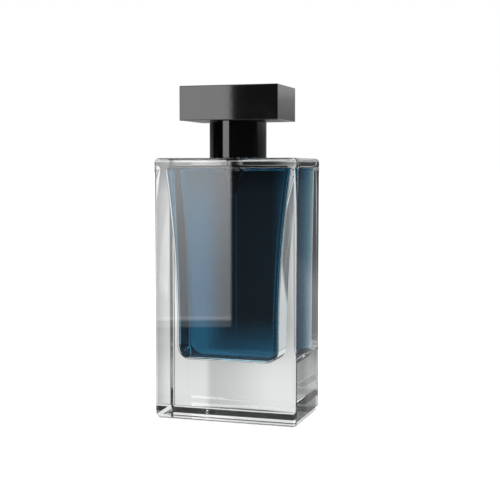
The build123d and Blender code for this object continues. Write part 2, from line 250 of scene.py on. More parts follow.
@dataclass
class Skin:
    """A mesh made of grids that share their border points.

    Attributes:
        points: One (rows, columns, 3) array of places for each grid.
        normals: The outward direction at each place.
        kept: Which faces of each grid are used.
    """

    points: list[Array] = field(default_factory=list)
    normals: list[Array] = field(default_factory=list)
    kept: list[Array] = field(default_factory=list)

    def grid(self, points: Array, normals: Array, kept: Array | None = None) -> "Skin":
        """Add one grid.

        Args:
            points: Places, as (rows, columns, 3).
            normals: Directions of the same shape, or one direction for all.
            kept: True for each face that is used, as (rows - 1, columns - 1).

        Returns:
            The skin itself, so that calls can follow each other.
        """
        directions = np.broadcast_to(normals, points.shape)
        lengths = np.linalg.norm(directions, axis=-1, keepdims=True)
        self.points.append(points)
        self.normals.append(directions / np.maximum(lengths, 1e-12))
        shape = (points.shape[0] - 1, points.shape[1] - 1)
        self.kept.append(np.ones(shape, bool) if kept is None else kept)
        return self

    def loft(self, columns: Columns, rows: Rows) -> "Skin":
        """Add the surface through level sections.

        A point is reach * (half - corner) + corner * facing at the section's height. The outward
        direction is at right angles to the walk: (facing * height slope, -sideways growth).

        Args:
            columns: The directions round the axis.
            rows: The sections in walking order.

        Returns:
            The skin itself.
        """
        flat = rows.half - rows.corner[:, None]
        level = columns.reach[None] * flat[:, None] + rows.corner[:, None, None] * columns.facing[None]
        height = np.broadcast_to(rows.height[:, None, None], level.shape[:2] + (1,))
        steady = (rows.half_slope - rows.corner_slope[:, None])[:, None]
        growth = ((columns.reach * columns.facing)[None] * steady).sum(-1) + rows.corner_slope[:, None]
        outward = columns.facing[None] * rows.height_slope[:, None, None]
        points = np.concatenate([level, height], 2)
        return self.grid(points, np.concatenate([outward, -growth[..., None]], 2))

    def between(self, first: Array, last: Array, normals: Array, steps: int = 1) -> "Skin":
        """Add straight lines from one border to another.

        Args:
            first: Places on the border where the walk starts, as (columns, 3).
            last: Places on the border where it ends.
            normals: The outward direction, one for all or one per place of the border.
            steps: Faces along each line.

        Returns:
            The skin itself.
        """
        share = np.linspace(0, 1, steps + 1)[:, None, None]
        return self.grid(first[None] * (1 - share) + last[None] * share, normals)

    def joined(self, *others: "Skin") -> "Skin":
        """This skin with the grids of others.

        Args:
            others: The skins whose grids are added.

        Returns:
            The skin itself.
        """
        for other in others:
            self.points += other.points
            self.normals += other.normals
            self.kept += other.kept
        return self

    def turned_about_z(self, angle: float) -> "Skin":
        """The skin turned about the Z axis by an angle in radians.

        Args:
            angle: The angle, counter-clockwise from above.

        Returns:
            The skin itself.
        """
        cosine, sine = math.cos(angle), math.sin(angle)
        turn = np.array([[cosine, sine, 0], [-sine, cosine, 0], [0, 0, 1]])
        self.points = [points @ turn for points in self.points]
        self.normals = [normals @ turn for normals in self.normals]
        return self

    def facing_front(self, height: float) -> "Skin":
        """The skin tipped forward: its +Z becomes -Y, and its axis lies at the given height.

        Args:
            height: The height of the axis, in metres.

        Returns:
            The skin itself.
        """
        tip = np.array([[1, 0, 0], [0, 0, 1], [0, -1, 0]])
        self.points = [points @ tip + (0, 0, height) for points in self.points]
        self.normals = [normals @ tip for normals in self.normals]
        return self

    def build(self, name: str) -> bpy.types.Object:
        """Weld the grids and make the object, with its normals as worked out.

        Points in one cell of the weld's size become one vertex, and the cells are shifted off
        zero. A face with two corners in one vertex loses one of them.

        Args:
            name: The object's name.

        Returns:
            The new object, at the origin.
        """
        weld, shift = 0.2e-6, 0.314
        corners, offset = [], 0
        for points, kept in zip(self.points, self.kept):
            count = points.shape[0] * points.shape[1]
            index = np.arange(offset, offset + count).reshape(points.shape[:2])
            faces = np.stack([index[:-1, :-1], index[:-1, 1:], index[1:, 1:], index[1:, :-1]], -1)
            corners.append(faces[kept])
            offset += count
        places = np.concatenate([points.reshape(-1, 3) for points in self.points])
        directions = np.concatenate([normals.reshape(-1, 3) for normals in self.normals])
        faces = np.concatenate(corners)
        cells = np.floor(places / weld + shift).astype(np.int64)
        _, first, welded = np.unique(cells, axis=0, return_index=True, return_inverse=True)
        loops = welded.reshape(-1)[faces]
        single = loops != np.roll(loops, -1, axis=1)
        single &= ~((loops == np.roll(loops, 2, axis=1)) & (np.arange(4) >= 2))
        single[single.sum(1) < 3] = False
        sizes = single.sum(1)
        sizes = sizes[sizes > 0]
        mesh = bpy.data.meshes.new(name)
        used, loop_index = np.unique(loops[single], return_inverse=True)
        mesh.vertices.add(len(used))
        mesh.vertices.foreach_set("co", places[first[used]].astype(np.float32).ravel())
        mesh.loops.add(len(loop_index))
        mesh.loops.foreach_set("vertex_index", loop_index.reshape(-1).astype(np.int32))
        mesh.polygons.add(len(sizes))
        starts = np.concatenate([[0], np.cumsum(sizes)[:-1]])
        mesh.polygons.foreach_set("loop_start", starts.astype(np.int32))
        mesh.polygons.foreach_set("use_smooth", np.ones(len(sizes), bool))
        mesh.update(calc_edges=True)
        mesh.normals_split_custom_set(directions[faces[single]].tolist())
        piece = bpy.data.objects.new(name, mesh)
        bpy.context.scene.collection.objects.link(piece)
        return piece


def turned_skin(corners: Sequence[Triple], closed: bool = True, columns: int = 72,
                steps: int = 5) -> Skin:
    """A round piece from a polygon of (radius, height, rounding) corners, in metres."""
    return Skin().loft(Columns.round(columns), Rows.turned(walk_round(corners, closed, steps)))


def lathe(outline: Sequence[Pair], edge: float = 0.12 * MM, closed: bool = True,
          columns: int = 72) -> Skin:
    """A round moulding whose corners share one rounding.

    Args:
        outline: (radius, height) of each corner, counter-clockwise, in metres.
        edge: The rounding; a corner beside a short side gets a third of that side.
        closed: Whether the last corner joins the first; else both ends are on the axis.
        columns: Faces round the axis.

    Returns:
        The skin.
    """
    places = np.array(outline)
    sides = np.linalg.norm(np.roll(places, -1, axis=0) - places, axis=1)
    limits = np.minimum(np.minimum(sides, np.roll(sides, 1)) / 3, edge)
    return turned_skin([(*place, limit) for place, limit in zip(outline, limits)], closed, columns, 4)


def block_skin(low: Triple, high: Triple, corner: float, edge: float) -> Skin:
    """An upright block with round corners, in metres.

    Args:
        low: Its lowest corner.
        high: Its highest corner.
        corner: Radius of its upright edges.
        edge: Rounding of its level edges, at most the corner's radius.

    Returns:
        The skin.
    """
    half_x, half_y = (high[0] - low[0]) / 2, (high[1] - low[1]) / 2
    far = -min(half_x, half_y)
    side = [(far, low[2], 0), (0, low[2], edge), (0, high[2], edge), (far, high[2], 0)]
    rows = Rows.framed(walk_round(side, closed=False, steps=4), half_x, half_y, corner)
    skin = Skin().loft(Columns.rectangle(half_x, half_y, 6, 3), rows)
    skin.points[0][..., :2] += ((low[0] + high[0]) / 2, (low[1] + high[1]) / 2)
    return skin


def level_ring(columns: Columns, rows: Rows, index: int) -> Array:
    """The places of one section of a loft, as (columns, 3)."""
    skin = Skin().loft(columns, rows)
    return skin.points[0][index]


# ============================================================ shader maths
class Wire:
    """A node's output that does sums: each operation adds one Math node."""

    def __init__(self, bench: "Bench", socket: bpy.types.NodeSocket) -> None:
        """Wrap one output socket of the bench's tree."""
        self.bench = bench
        self.socket = socket

    def _sum(self, operation: str, *terms: Any) -> "Wire":
        """Add a Math node on the given terms."""
        return self.bench.wire("ShaderNodeMath", {"operation": operation}, dict(enumerate(terms)))

    def __add__(self, other: Any) -> "Wire":
        """self + other."""
        return self._sum("ADD", self, other)

    __radd__ = __add__

    def __sub__(self, other: Any) -> "Wire":
        """self - other."""
        return self._sum("SUBTRACT", self, other)

    def __rsub__(self, other: Any) -> "Wire":
        """other - self."""
        return self._sum("SUBTRACT", other, self)

    def __mul__(self, other: Any) -> "Wire":
        """self * other."""
        return self._sum("MULTIPLY", self, other)

    __rmul__ = __mul__

    def __truediv__(self, other: Any) -> "Wire":
        """self / other."""
        return self._sum("DIVIDE", self, other)

    def __rtruediv__(self, other: Any) -> "Wire":
        """other / self."""
        return self._sum("DIVIDE", other, self)

    def over(self, limit: Any) -> "Wire":
        """1 where self is over the limit, else 0."""
        return self._sum("GREATER_THAN", self, limit)

    def larger(self, other: Any) -> "Wire":
        """The larger of the two."""
        return self._sum("MAXIMUM", self, other)

    def within(self, low: float, high: float, soft: float) -> "Wire":
        """1 between low and high, else 0, with soft borders."""
        return self.ramp(low - soft, low + soft) * self.ramp(high - soft, high + soft, 1.0, 0.0)

    def ramp(self, low: float, high: float, start: float = 0.0, end: float = 1.0) -> "Wire":
        """A smooth step: start below low, end above high.

        Args:
            low: Where the step starts.
            high: Where it ends.
            start: The result below low.
            end: The result above high.

        Returns:
            The step.
        """
        settings = {"interpolation_type": "SMOOTHSTEP"}
        values = {"Value": self, "From Min": low, "From Max": high, "To Min": start, "To Max": end}
        return self.bench.wire("ShaderNodeMapRange", settings, values)


class Bench:
    """Adds nodes to one node tree."""

    def __init__(self, tree: bpy.types.NodeTree) -> None:
        """Start on an emptied tree."""
        self.tree = tree
        tree.nodes.clear()

    def node(self, kind: str, settings: Mapping[str, Any] | None = None,
             values: Mapping[Any, Any] | None = None) -> bpy.types.Node:
        """Add a node.

        Args:
            kind: The node's type.
            settings: Its properties, set before its sockets; "stops" fills a colour ramp.
            values: A number, colour or Wire for each input, by name or place.

        Returns:
            The node.
        """
        node = self.tree.nodes.new(kind)
        for key, value in (settings or {}).items():
            if key == "stops":
                self._stops(node.color_ramp, value)
            else:
                setattr(node, key, value)
        for key, value in (values or {}).items():
            if isinstance(value, Wire):
                self.tree.links.new(value.socket, node.inputs[key])
            elif isinstance(value, bpy.types.NodeSocket):
                self.tree.links.new(value, node.inputs[key])
            else:
                node.inputs[key].default_value = value
        return node

    def wire(self, kind: str, settings: Mapping[str, Any] | None = None,
             values: Mapping[Any, Any] | None = None, output: Any = 0) -> Wire:
        """Add a node and wrap one of its outputs."""
        return Wire(self, self.node(kind, settings, values).outputs[output])

    @staticmethod
    def _stops(ramp: bpy.types.ColorRamp, stops: Sequence[tuple[float, Colour]]) -> None:
        """Fill a colour ramp with (place, colour) stops.

        Args:
            ramp: The ramp, with at most as many stops as are given.
            stops: Its new stops.
        """
        while len(ramp.elements) < len(stops):
            ramp.elements.new(1.0)
        for element, (place, colour) in zip(ramp.elements, stops):
            element.position = place
            element.color = colour

    def place(self, scale: Triple = (1, 1, 1)) -> Wire:
        """The place on the object, in metres, with each direction stretched by scale."""
        place = self.wire("ShaderNodeTexCoord", output="Object")
        return self.wire("ShaderNodeMapping", {"vector_type": "POINT"}, {"Vector": place, "Scale": scale})

    def axes(self, output: str = "Object") -> tuple[Wire, ...]:
        """The X, Y and Z of the place on the object, in metres, or of a direction."""
        node = self.node("ShaderNodeSeparateXYZ", None, {0: self.wire("ShaderNodeTexCoord", output=output)})
        return tuple(Wire(self, output) for output in node.outputs)

    def noise(self, per_metre: float, detail: float = 2.0, scale: Triple = (1, 1, 1)) -> Wire:
        """Noise from 0 to 1, with about per_metre swings in a metre."""
        values = {"Vector": self.place(scale), "Scale": per_metre, "Detail": detail}
        return self.wire("ShaderNodeTexNoise", None, values)

    def either(self, choice: Wire, first: bpy.types.Node, second: bpy.types.Node) -> bpy.types.Node:
        """The first shader where the choice is 0, the second where it is 1."""
        values = {0: choice, 1: first.outputs[0], 2: second.outputs[0]}
        return self.node("ShaderNodeMixShader", None, values)

    def mix(self, factor: Any, first: Colour, second: Colour) -> Wire:
        """A colour between two, by factor.

        Args:
            factor: 0 for the first colour, 1 for the second.
            first: The first colour.
            second: The second colour.

        Returns:
            The colour.
        """
        first_input, second_input, colour_output = 6, 7, 2
        values = {0: factor, first_input: first, second_input: second}
        return self.wire("ShaderNodeMix", {"data_type": "RGBA"}, values, colour_output)

    def bump(self, height: Wire, strength: float, depth: float) -> Wire:
        """A normal tilted by a height pattern; depth is the pattern's height in metres."""
        values = {"Height": height, "Strength": strength, "Distance": depth}
        return self.wire("ShaderNodeBump", None, values)


def grey(value: float) -> Colour:
    """A neutral colour."""
    return (value, value, value, 1.0)


# ============================================================ finishes
@dataclass(frozen=True)
class Finish:
    """A material; each kind fills in its own shader.

    Attributes:
        name: The material's name.
    """

    name: str

    def shade(self, bench: Bench) -> dict[str, Any]:
        """The values and wires of the main shader's sockets."""
        raise NotImplementedError

    def surface(self, bench: Bench) -> bpy.types.Node:
        """The shader of the piece's surface."""
        return bench.node("ShaderNodeBsdfPrincipled", None, self.shade(bench))

    def volume(self, bench: Bench) -> bpy.types.Node | None:
        """A shader for the inside of the piece, or None."""
        return None

    def make(self) -> bpy.types.Material:
        """The material, made once and then shared by its pieces.

        Returns:
            The material.
        """
        title = self.name + "_finish"
        found = bpy.data.materials.get(title)
        if found:
            return found
        material = bpy.data.materials.new(title)
        material.use_nodes = True
        bench = Bench(material.node_tree)
        output = bench.node("ShaderNodeOutputMaterial", None, {"Surface": self.surface(bench).outputs[0]})
        inside = self.volume(bench)
        if inside:
            material.node_tree.links.new(inside.outputs[0], output.inputs["Volume"])
        return material

    def dress(self, piece: bpy.types.Object) -> None:
        """Give the piece this material alone.

        Args:
            piece: The piece; its slots all get the material.
        """
        material = self.make()
        if not piece.data.materials:
            piece.data.materials.append(material)
        for slot in piece.material_slots:
            slot.material = material


@dataclass(frozen=True)
class ClearGlass(Finish):
    """Fire-polished clear crystal with the slightest waviness and tint.

    Where the liquid wets the inner wall, light bends by the two indices' ratio.

    Attributes:
        index: Index of the dry glass.
        wet_index: The glass's index divided by the liquid's.
        margin: How far the wet zone reaches past the liquid's box.
        tint: The lightest colour that the surface takes.
        absorbed: The colour that stays after a long way through the glass.
        absorption_per_metre: How fast the glass takes light away.
        drift_per_metre: How often the tint swings.
        wave_per_metre: How often the surface swings.
        wave_strength: How much of the waves shows.
        wave_depth: The waves' height.
    """

    name: str = "clear_glass"
    index: float = 1.75
    wet_index: float = 1.75 / 1.36
    margin: float = 1.0 * MM
    tint: Colour = (0.992, 0.995, 0.996, 1.0)
    absorbed: Colour = (0.93, 0.955, 0.96, 1.0)
    absorption_per_metre: float = 8.0
    drift_per_metre: float = 30.0
    wave_per_metre: float = 45.0
    wave_strength: float = 0.05
    wave_depth: float = 0.02 * MM

    def shade(self, bench: Bench) -> dict[str, Any]:
        """Clear body; the tint and the polish drift a little over the surface.

        Args:
            bench: The material's nodes.

        Returns:
            The values and wires of the shader's sockets, by name.
        """
        drift = bench.noise(self.drift_per_metre, 1.0)
        wave = bench.noise(self.wave_per_metre, 0.0)
        return {
            "Base Color": bench.mix(drift, self.tint, grey(1.0)),
            "Roughness": 0.0,
            "IOR": self.index,
            "Transmission Weight": 1.0,
            "Normal": bench.bump(wave, self.wave_strength, self.wave_depth),
        }

    def surface(self, bench: Bench) -> bpy.types.Node:
        """Dry glass, and wet glass inside a box round the liquid.

        Args:
            bench: The material's nodes.

        Returns:
            The shader.
        """
        low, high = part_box("aftershave_fill")
        across, deep, height = bench.axes()
        beside = (across * across).over((high.x + self.margin) ** 2)
        beside = beside.larger((deep * deep).over((high.y + self.margin) ** 2))
        outside = beside.larger(height.over(high.z)).larger(1 - height.over(low.z - self.margin))
        dry = self.shade(bench)
        wet_shader = bench.node("ShaderNodeBsdfPrincipled", None, dry | {"IOR": self.wet_index})
        dry_shader = bench.node("ShaderNodeBsdfPrincipled", None, dry)
        return bench.either(outside, wet_shader, dry_shader)

    def volume(self, bench: Bench) -> bpy.types.Node:
        """The faint colour of thick glass."""
        values = {"Color": self.absorbed, "Density": self.absorption_per_metre}
        return bench.node("ShaderNodeVolumeAbsorption", None, values)


@dataclass(frozen=True)
class BlueLiquid(Finish):
    """Clear dark blue liquid; its colour is in its depth.

    Its sides and floor let light through unbent, because the wet glass already bends it.

    Attributes:
        index: Index of the free surface.
        surface_depth: How far under the liquid's top the free surface reaches.
        absorbed: The colour that stays after a long way through the liquid.
        absorption_per_metre: How fast the dye takes light away.
        drift_per_metre: How often the surface's brightness swings.
    """

    name: str = "blue_liquid"
    index: float = 1.36
    surface_depth: float = 0.05 * MM
    absorbed: Colour = (0.225, 0.595, 0.71, 1.0)
    absorption_per_metre: float = 200.0
    drift_per_metre: float = 25.0

    def shade(self, bench: Bench) -> dict[str, Any]:
        """A clear surface, very slightly uneven in brightness.

        Args:
            bench: The material's nodes.

        Returns:
            The values and wires of the shader's sockets, by name.
        """
        drift = bench.noise(self.drift_per_metre, 0.0)
        return {
            "Base Color": bench.mix(drift, grey(0.998), grey(1.0)),
            "Roughness": 0.0,
            "IOR": 1.0,
            "Transmission Weight": 1.0,
        }

    def surface(self, bench: Bench) -> bpy.types.Node:
        """The wet sides, and the free surface at the top.

        Args:
            bench: The material's nodes.

        Returns:
            The shader.
        """
        height = bench.axes()[2]
        top = height.over(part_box("aftershave_fill")[1].z - self.surface_depth)
        sides = self.shade(bench)
        side_shader = bench.node("ShaderNodeBsdfPrincipled", None, sides)
        top_shader = bench.node("ShaderNodeBsdfPrincipled", None, sides | {"IOR": self.index})
        return bench.either(top, side_shader, top_shader)

    def volume(self, bench: Bench) -> bpy.types.Node:
        """The dye: red goes first, then green."""
        values = {"Color": self.absorbed, "Density": self.absorption_per_metre}
        return bench.node("ShaderNodeVolumeAbsorption", None, values)


@dataclass(frozen=True)
class PolishedBlack(Finish):
    """Deep gloss black with a faint orange peel and fine haze from handling.

    Attributes:
        dark: Brightness of the clean gloss.
        light: Brightness where it is hazy.
        roughness: Roughness of the clean gloss.
        haze: What the soft patches add to it.
        fine_haze: What the fine specks add to it.
        peel: How much of the orange peel shows.
        peel_depth: The peel's height.
        index: Index of the lacquer.
    """

    name: str = "black_gloss"
    dark: float = 0.0035
    light: float = 0.006
    roughness: float = 0.03
    haze: float = 0.03
    fine_haze: float = 0.01
    peel: float = 0.012
    peel_depth: float = 0.05 * MM
    index: float = 1.65

    def shade(self, bench: Bench) -> dict[str, Any]:
        """Black whose haze drifts in soft patches; the peel is a shallow bump.

        Args:
            bench: The material's nodes.

        Returns:
            The values and wires of the shader's sockets, by name.
        """
        patches = bench.noise(60.0, 3.0).ramp(0.45, 0.75)
        fine = bench.noise(2600.0, 1.0)
        peel = bench.noise(420.0, 1.0)
        return {
            "Base Color": bench.mix(patches, grey(self.dark), grey(self.light)),
            "Roughness": patches * self.haze + fine * self.fine_haze + self.roughness,
            "IOR": self.index,
            "Normal": bench.bump(peel, self.peel, self.peel_depth),
        }


@dataclass(frozen=True)
class MouldedPlastic(Finish):
    """Moulded plastic with a fine eroded grain.

    Attributes:
        colour: The darker colour.
        pale: How many times as bright the lighter one is.
        roughness: Roughness in the middle of the grain's swing.
        gloss: How far below it the smoothest places lie.
        grain_haze: What the grain adds.
        drift_haze: What the slow drift of the colour adds.
        drift_per_metre: How often the colour swings.
        grain_per_metre: How often the grain swings.
        grain_strength: How much of the grain shows.
        grain_depth: The grain's height.
    """

    colour: Colour = (0.03, 0.03, 0.032, 1.0)
    pale: float = 1.25
    roughness: float = 0.38
    gloss: float = 0.1
    grain_haze: float = 0.18
    drift_haze: float = 0.06
    drift_per_metre: float = 180.0
    grain_per_metre: float = 3200.0
    grain_strength: float = 0.25
    grain_depth: float = 0.03 * MM

    def shade(self, bench: Bench) -> dict[str, Any]:
        """Colour drifts softly; the grain lifts and dulls the surface.

        Args:
            bench: The material's nodes.

        Returns:
            The values and wires of the shader's sockets, by name.
        """
        drift = bench.noise(self.drift_per_metre, 2.0)
        grain = bench.noise(self.grain_per_metre, 3.0)
        lighter = tuple(min(channel * self.pale, 1.0) for channel in self.colour[:3]) + (1.0,)
        return {
            "Base Color": bench.mix(drift, self.colour, lighter),
            "Roughness": grain * self.grain_haze + drift * self.drift_haze + (self.roughness - self.gloss),
            "Normal": bench.bump(grain, self.grain_strength, self.grain_depth),
        }


@dataclass(frozen=True)
class DrawnMetal(Finish):
    """Sheet or wire with fine lines from the tool that drew or turned it.

    Attributes:
        colour: The lighter colour.
        dull: How bright the darker one is beside it.
        metallic: How much of a metal it is.
        roughness: Roughness in the middle of the lines' swing.
        gloss: How far below it the smoothest places lie.
        line_haze: What the lines add.
        patch_haze: What the patches add.
        lines: How fast the lines change in X, Y and Z.
        lines_per_metre: How often they swing.
        line_strength: How much of them shows.
        line_depth: Their height.
        patches_per_metre: How often the patches swing.
    """

    colour: Colour = (0.72, 0.72, 0.74, 1.0)
    dull: float = 0.8
    metallic: float = 1.0
    roughness: float = 0.24
    gloss: float = 0.1
    line_haze: float = 0.16
    patch_haze: float = 0.06
    lines: Triple = (1, 1, 14)
    lines_per_metre: float = 900.0
    line_strength: float = 0.12
    line_depth: float = 0.02 * MM
    patches_per_metre: float = 90.0

    def shade(self, bench: Bench) -> dict[str, Any]:
        """Long thin noise gives the lines; they dull and tilt the surface.

        Args:
            bench: The material's nodes.

        Returns:
            The values and wires of the shader's sockets, by name.
        """
        lines = bench.noise(self.lines_per_metre, 2.0, self.lines)
        patches = bench.noise(self.patches_per_metre, 2.0)
        darker = tuple(channel * self.dull for channel in self.colour[:3]) + (1.0,)
        return {
            "Base Color": bench.mix(patches * 0.5 + lines * 0.5, darker, self.colour),
            "Metallic": self.metallic,
            "Roughness": lines * self.line_haze + patches * self.patch_haze + (self.roughness - self.gloss),
            "Normal": bench.bump(lines, self.line_strength, self.line_depth),
        }


@dataclass(frozen=True)
class SoftRubber(Finish):
    """Matt elastomer with a dusty bloom.

    Attributes:
        colour: The rubber's colour.
        bloom: The colour of the dust on it.
        roughness: Roughness where it is clean.
        bloom_haze: What the bloom adds.
        patches_per_metre: How often the bloom's patches swing.
        bloom_strength: How much of their relief shows.
        bloom_depth: The relief's height.
    """

    name: str = "gasket_rubber"
    colour: Colour = (0.03, 0.03, 0.032, 1.0)
    bloom: Colour = (0.075, 0.075, 0.08, 1.0)
    roughness: float = 0.6
    bloom_haze: float = 0.2
    patches_per_metre: float = 600.0
    bloom_strength: float = 0.2
    bloom_depth: float = 0.04 * MM

    def shade(self, bench: Bench) -> dict[str, Any]:
        """The bloom lies in small soft patches.

        Args:
            bench: The material's nodes.

        Returns:
            The values and wires of the shader's sockets, by name.
        """
        patches = bench.noise(self.patches_per_metre, 4.0)
        return {
            "Base Color": bench.mix(patches.ramp(0.4, 0.7), self.colour, self.bloom),
            "Roughness": patches * self.bloom_haze + self.roughness,
            "Normal": bench.bump(patches, self.bloom_strength, self.bloom_depth),
        }


@dataclass(frozen=True)
class ClearTube(Finish):
    """Clear tube that all but vanishes in the liquid.

    Attributes:
        index: The tube's index divided by the liquid's.
        haze: Roughness that the lines add.
        lines: How fast the lines change in X, Y and Z.
        lines_per_metre: How often they swing.
    """

    name: str = "clear_tube"
    index: float = 1.002
    haze: float = 0.02
    lines: Triple = (1, 1, 0.05)
    lines_per_metre: float = 1500.0

    def shade(self, bench: Bench) -> dict[str, Any]:
        """A clear body with faint lines along its length.

        Args:
            bench: The material's nodes.

        Returns:
            The values and wires of the shader's sockets, by name.
        """
        lines = bench.noise(self.lines_per_metre, 1.0, self.lines)
        return {
            "Base Color": bench.mix(lines, grey(0.985), grey(1.0)),
            "Roughness": lines * self.haze,
            "IOR": self.index,
            "Transmission Weight": 1.0,
        }


@dataclass(frozen=True)
class StudioPaper(Finish):
    """Pale paper under the bottle.

    Attributes:
        colour: Its brightness.
        glow: The light that it gives off, so that its far side stays white.
        roughness: Its roughness.
        clouds_per_metre: How often its brightness swings.
    """

    name: str = "studio_paper"
    colour: float = 0.92
    glow: float = 0.4
    roughness: float = 0.9
    clouds_per_metre: float = 3.0

    def shade(self, bench: Bench) -> dict[str, Any]:
        """Even pale paper with the faintest cloudiness.

        Args:
            bench: The material's nodes.

        Returns:
            The values and wires of the shader's sockets, by name.
        """
        cloud = bench.noise(self.clouds_per_metre, 2.0)
        return {
            "Base Color": bench.mix(cloud, grey(self.colour), grey(self.colour + 0.01)),
            "Roughness": self.roughness,
            "Specular IOR Level": 0.0,
            "Emission Color": bench.mix(cloud, grey(0.9), grey(1.0)),
            "Emission Strength": self.glow,
        }


class Look(Enum):
    """The finishes by use; each has the record's material slot in its name."""

    GLASS = ClearGlass()
    LIQUID = BlueLiquid()
    CAP = PolishedBlack()
    COLLAR = PolishedBlack(
        name="black_metal", dark=0.0008, light=0.0016, roughness=0.05, haze=0.02, peel=0.02,
    )
    INSERT = MouldedPlastic(name="insert_plastic")
    BUTTON = MouldedPlastic(name="button_plastic", roughness=0.34)
    BARREL = MouldedPlastic(name="dark_pump_plastic", colour=(0.012, 0.014, 0.018, 1.0), roughness=0.3)
    PUMP = MouldedPlastic(name="pump_plastic", colour=(0.70, 0.71, 0.70, 1.0), pale=1.1, roughness=0.36)
    PISTON = MouldedPlastic(
        name="piston_plastic", colour=(0.78, 0.78, 0.72, 1.0), pale=1.08, roughness=0.42,
    )
    RUBBER = SoftRubber()
    FERRULE = DrawnMetal(name="ferrule_aluminium")
    STEEL = DrawnMetal(
        name="spring_steel", colour=(0.60, 0.60, 0.61, 1.0), roughness=0.2, line_strength=0.06,
    )
    WEIGHT = DrawnMetal(
        name="weight_steel", colour=(0.42, 0.42, 0.43, 1.0), roughness=0.36, lines=(12, 1, 1),
    )
    TUBE = ClearTube()


# ============================================================ sub-assemblies
class Assembly:
    """A group of pieces that are made and dressed together."""

    body = "base"

    def pieces(self) -> Iterable[bpy.types.Object]:
        """Make each piece in turn."""
        raise NotImplementedError

    def piece(self, node: str, look: Look, skin: Skin | None = None,
              body: str | None = None) -> bpy.types.Object:
        """Dress one piece, and tie it to its body if it is a new surface.

        Args:
            node: The CAD node that the piece is, or stands for.
            look: Its finish; its slot in the record has the same name.
            skin: The new surface, or None where the CAD node itself shows.
            body: The body that the piece rides on, if it isn't the assembly's own.

        Returns:
            The piece.
        """
        if skin is None:
            made = frame["nodes"][node]
        else:
            made = skin.build(node + "_form")
            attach(made, body or self.body)
            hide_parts(node)
        look.value.dress(made)
        log.info("%s: %s, %d faces", node, look.value.name, len(made.data.polygons))
        return made


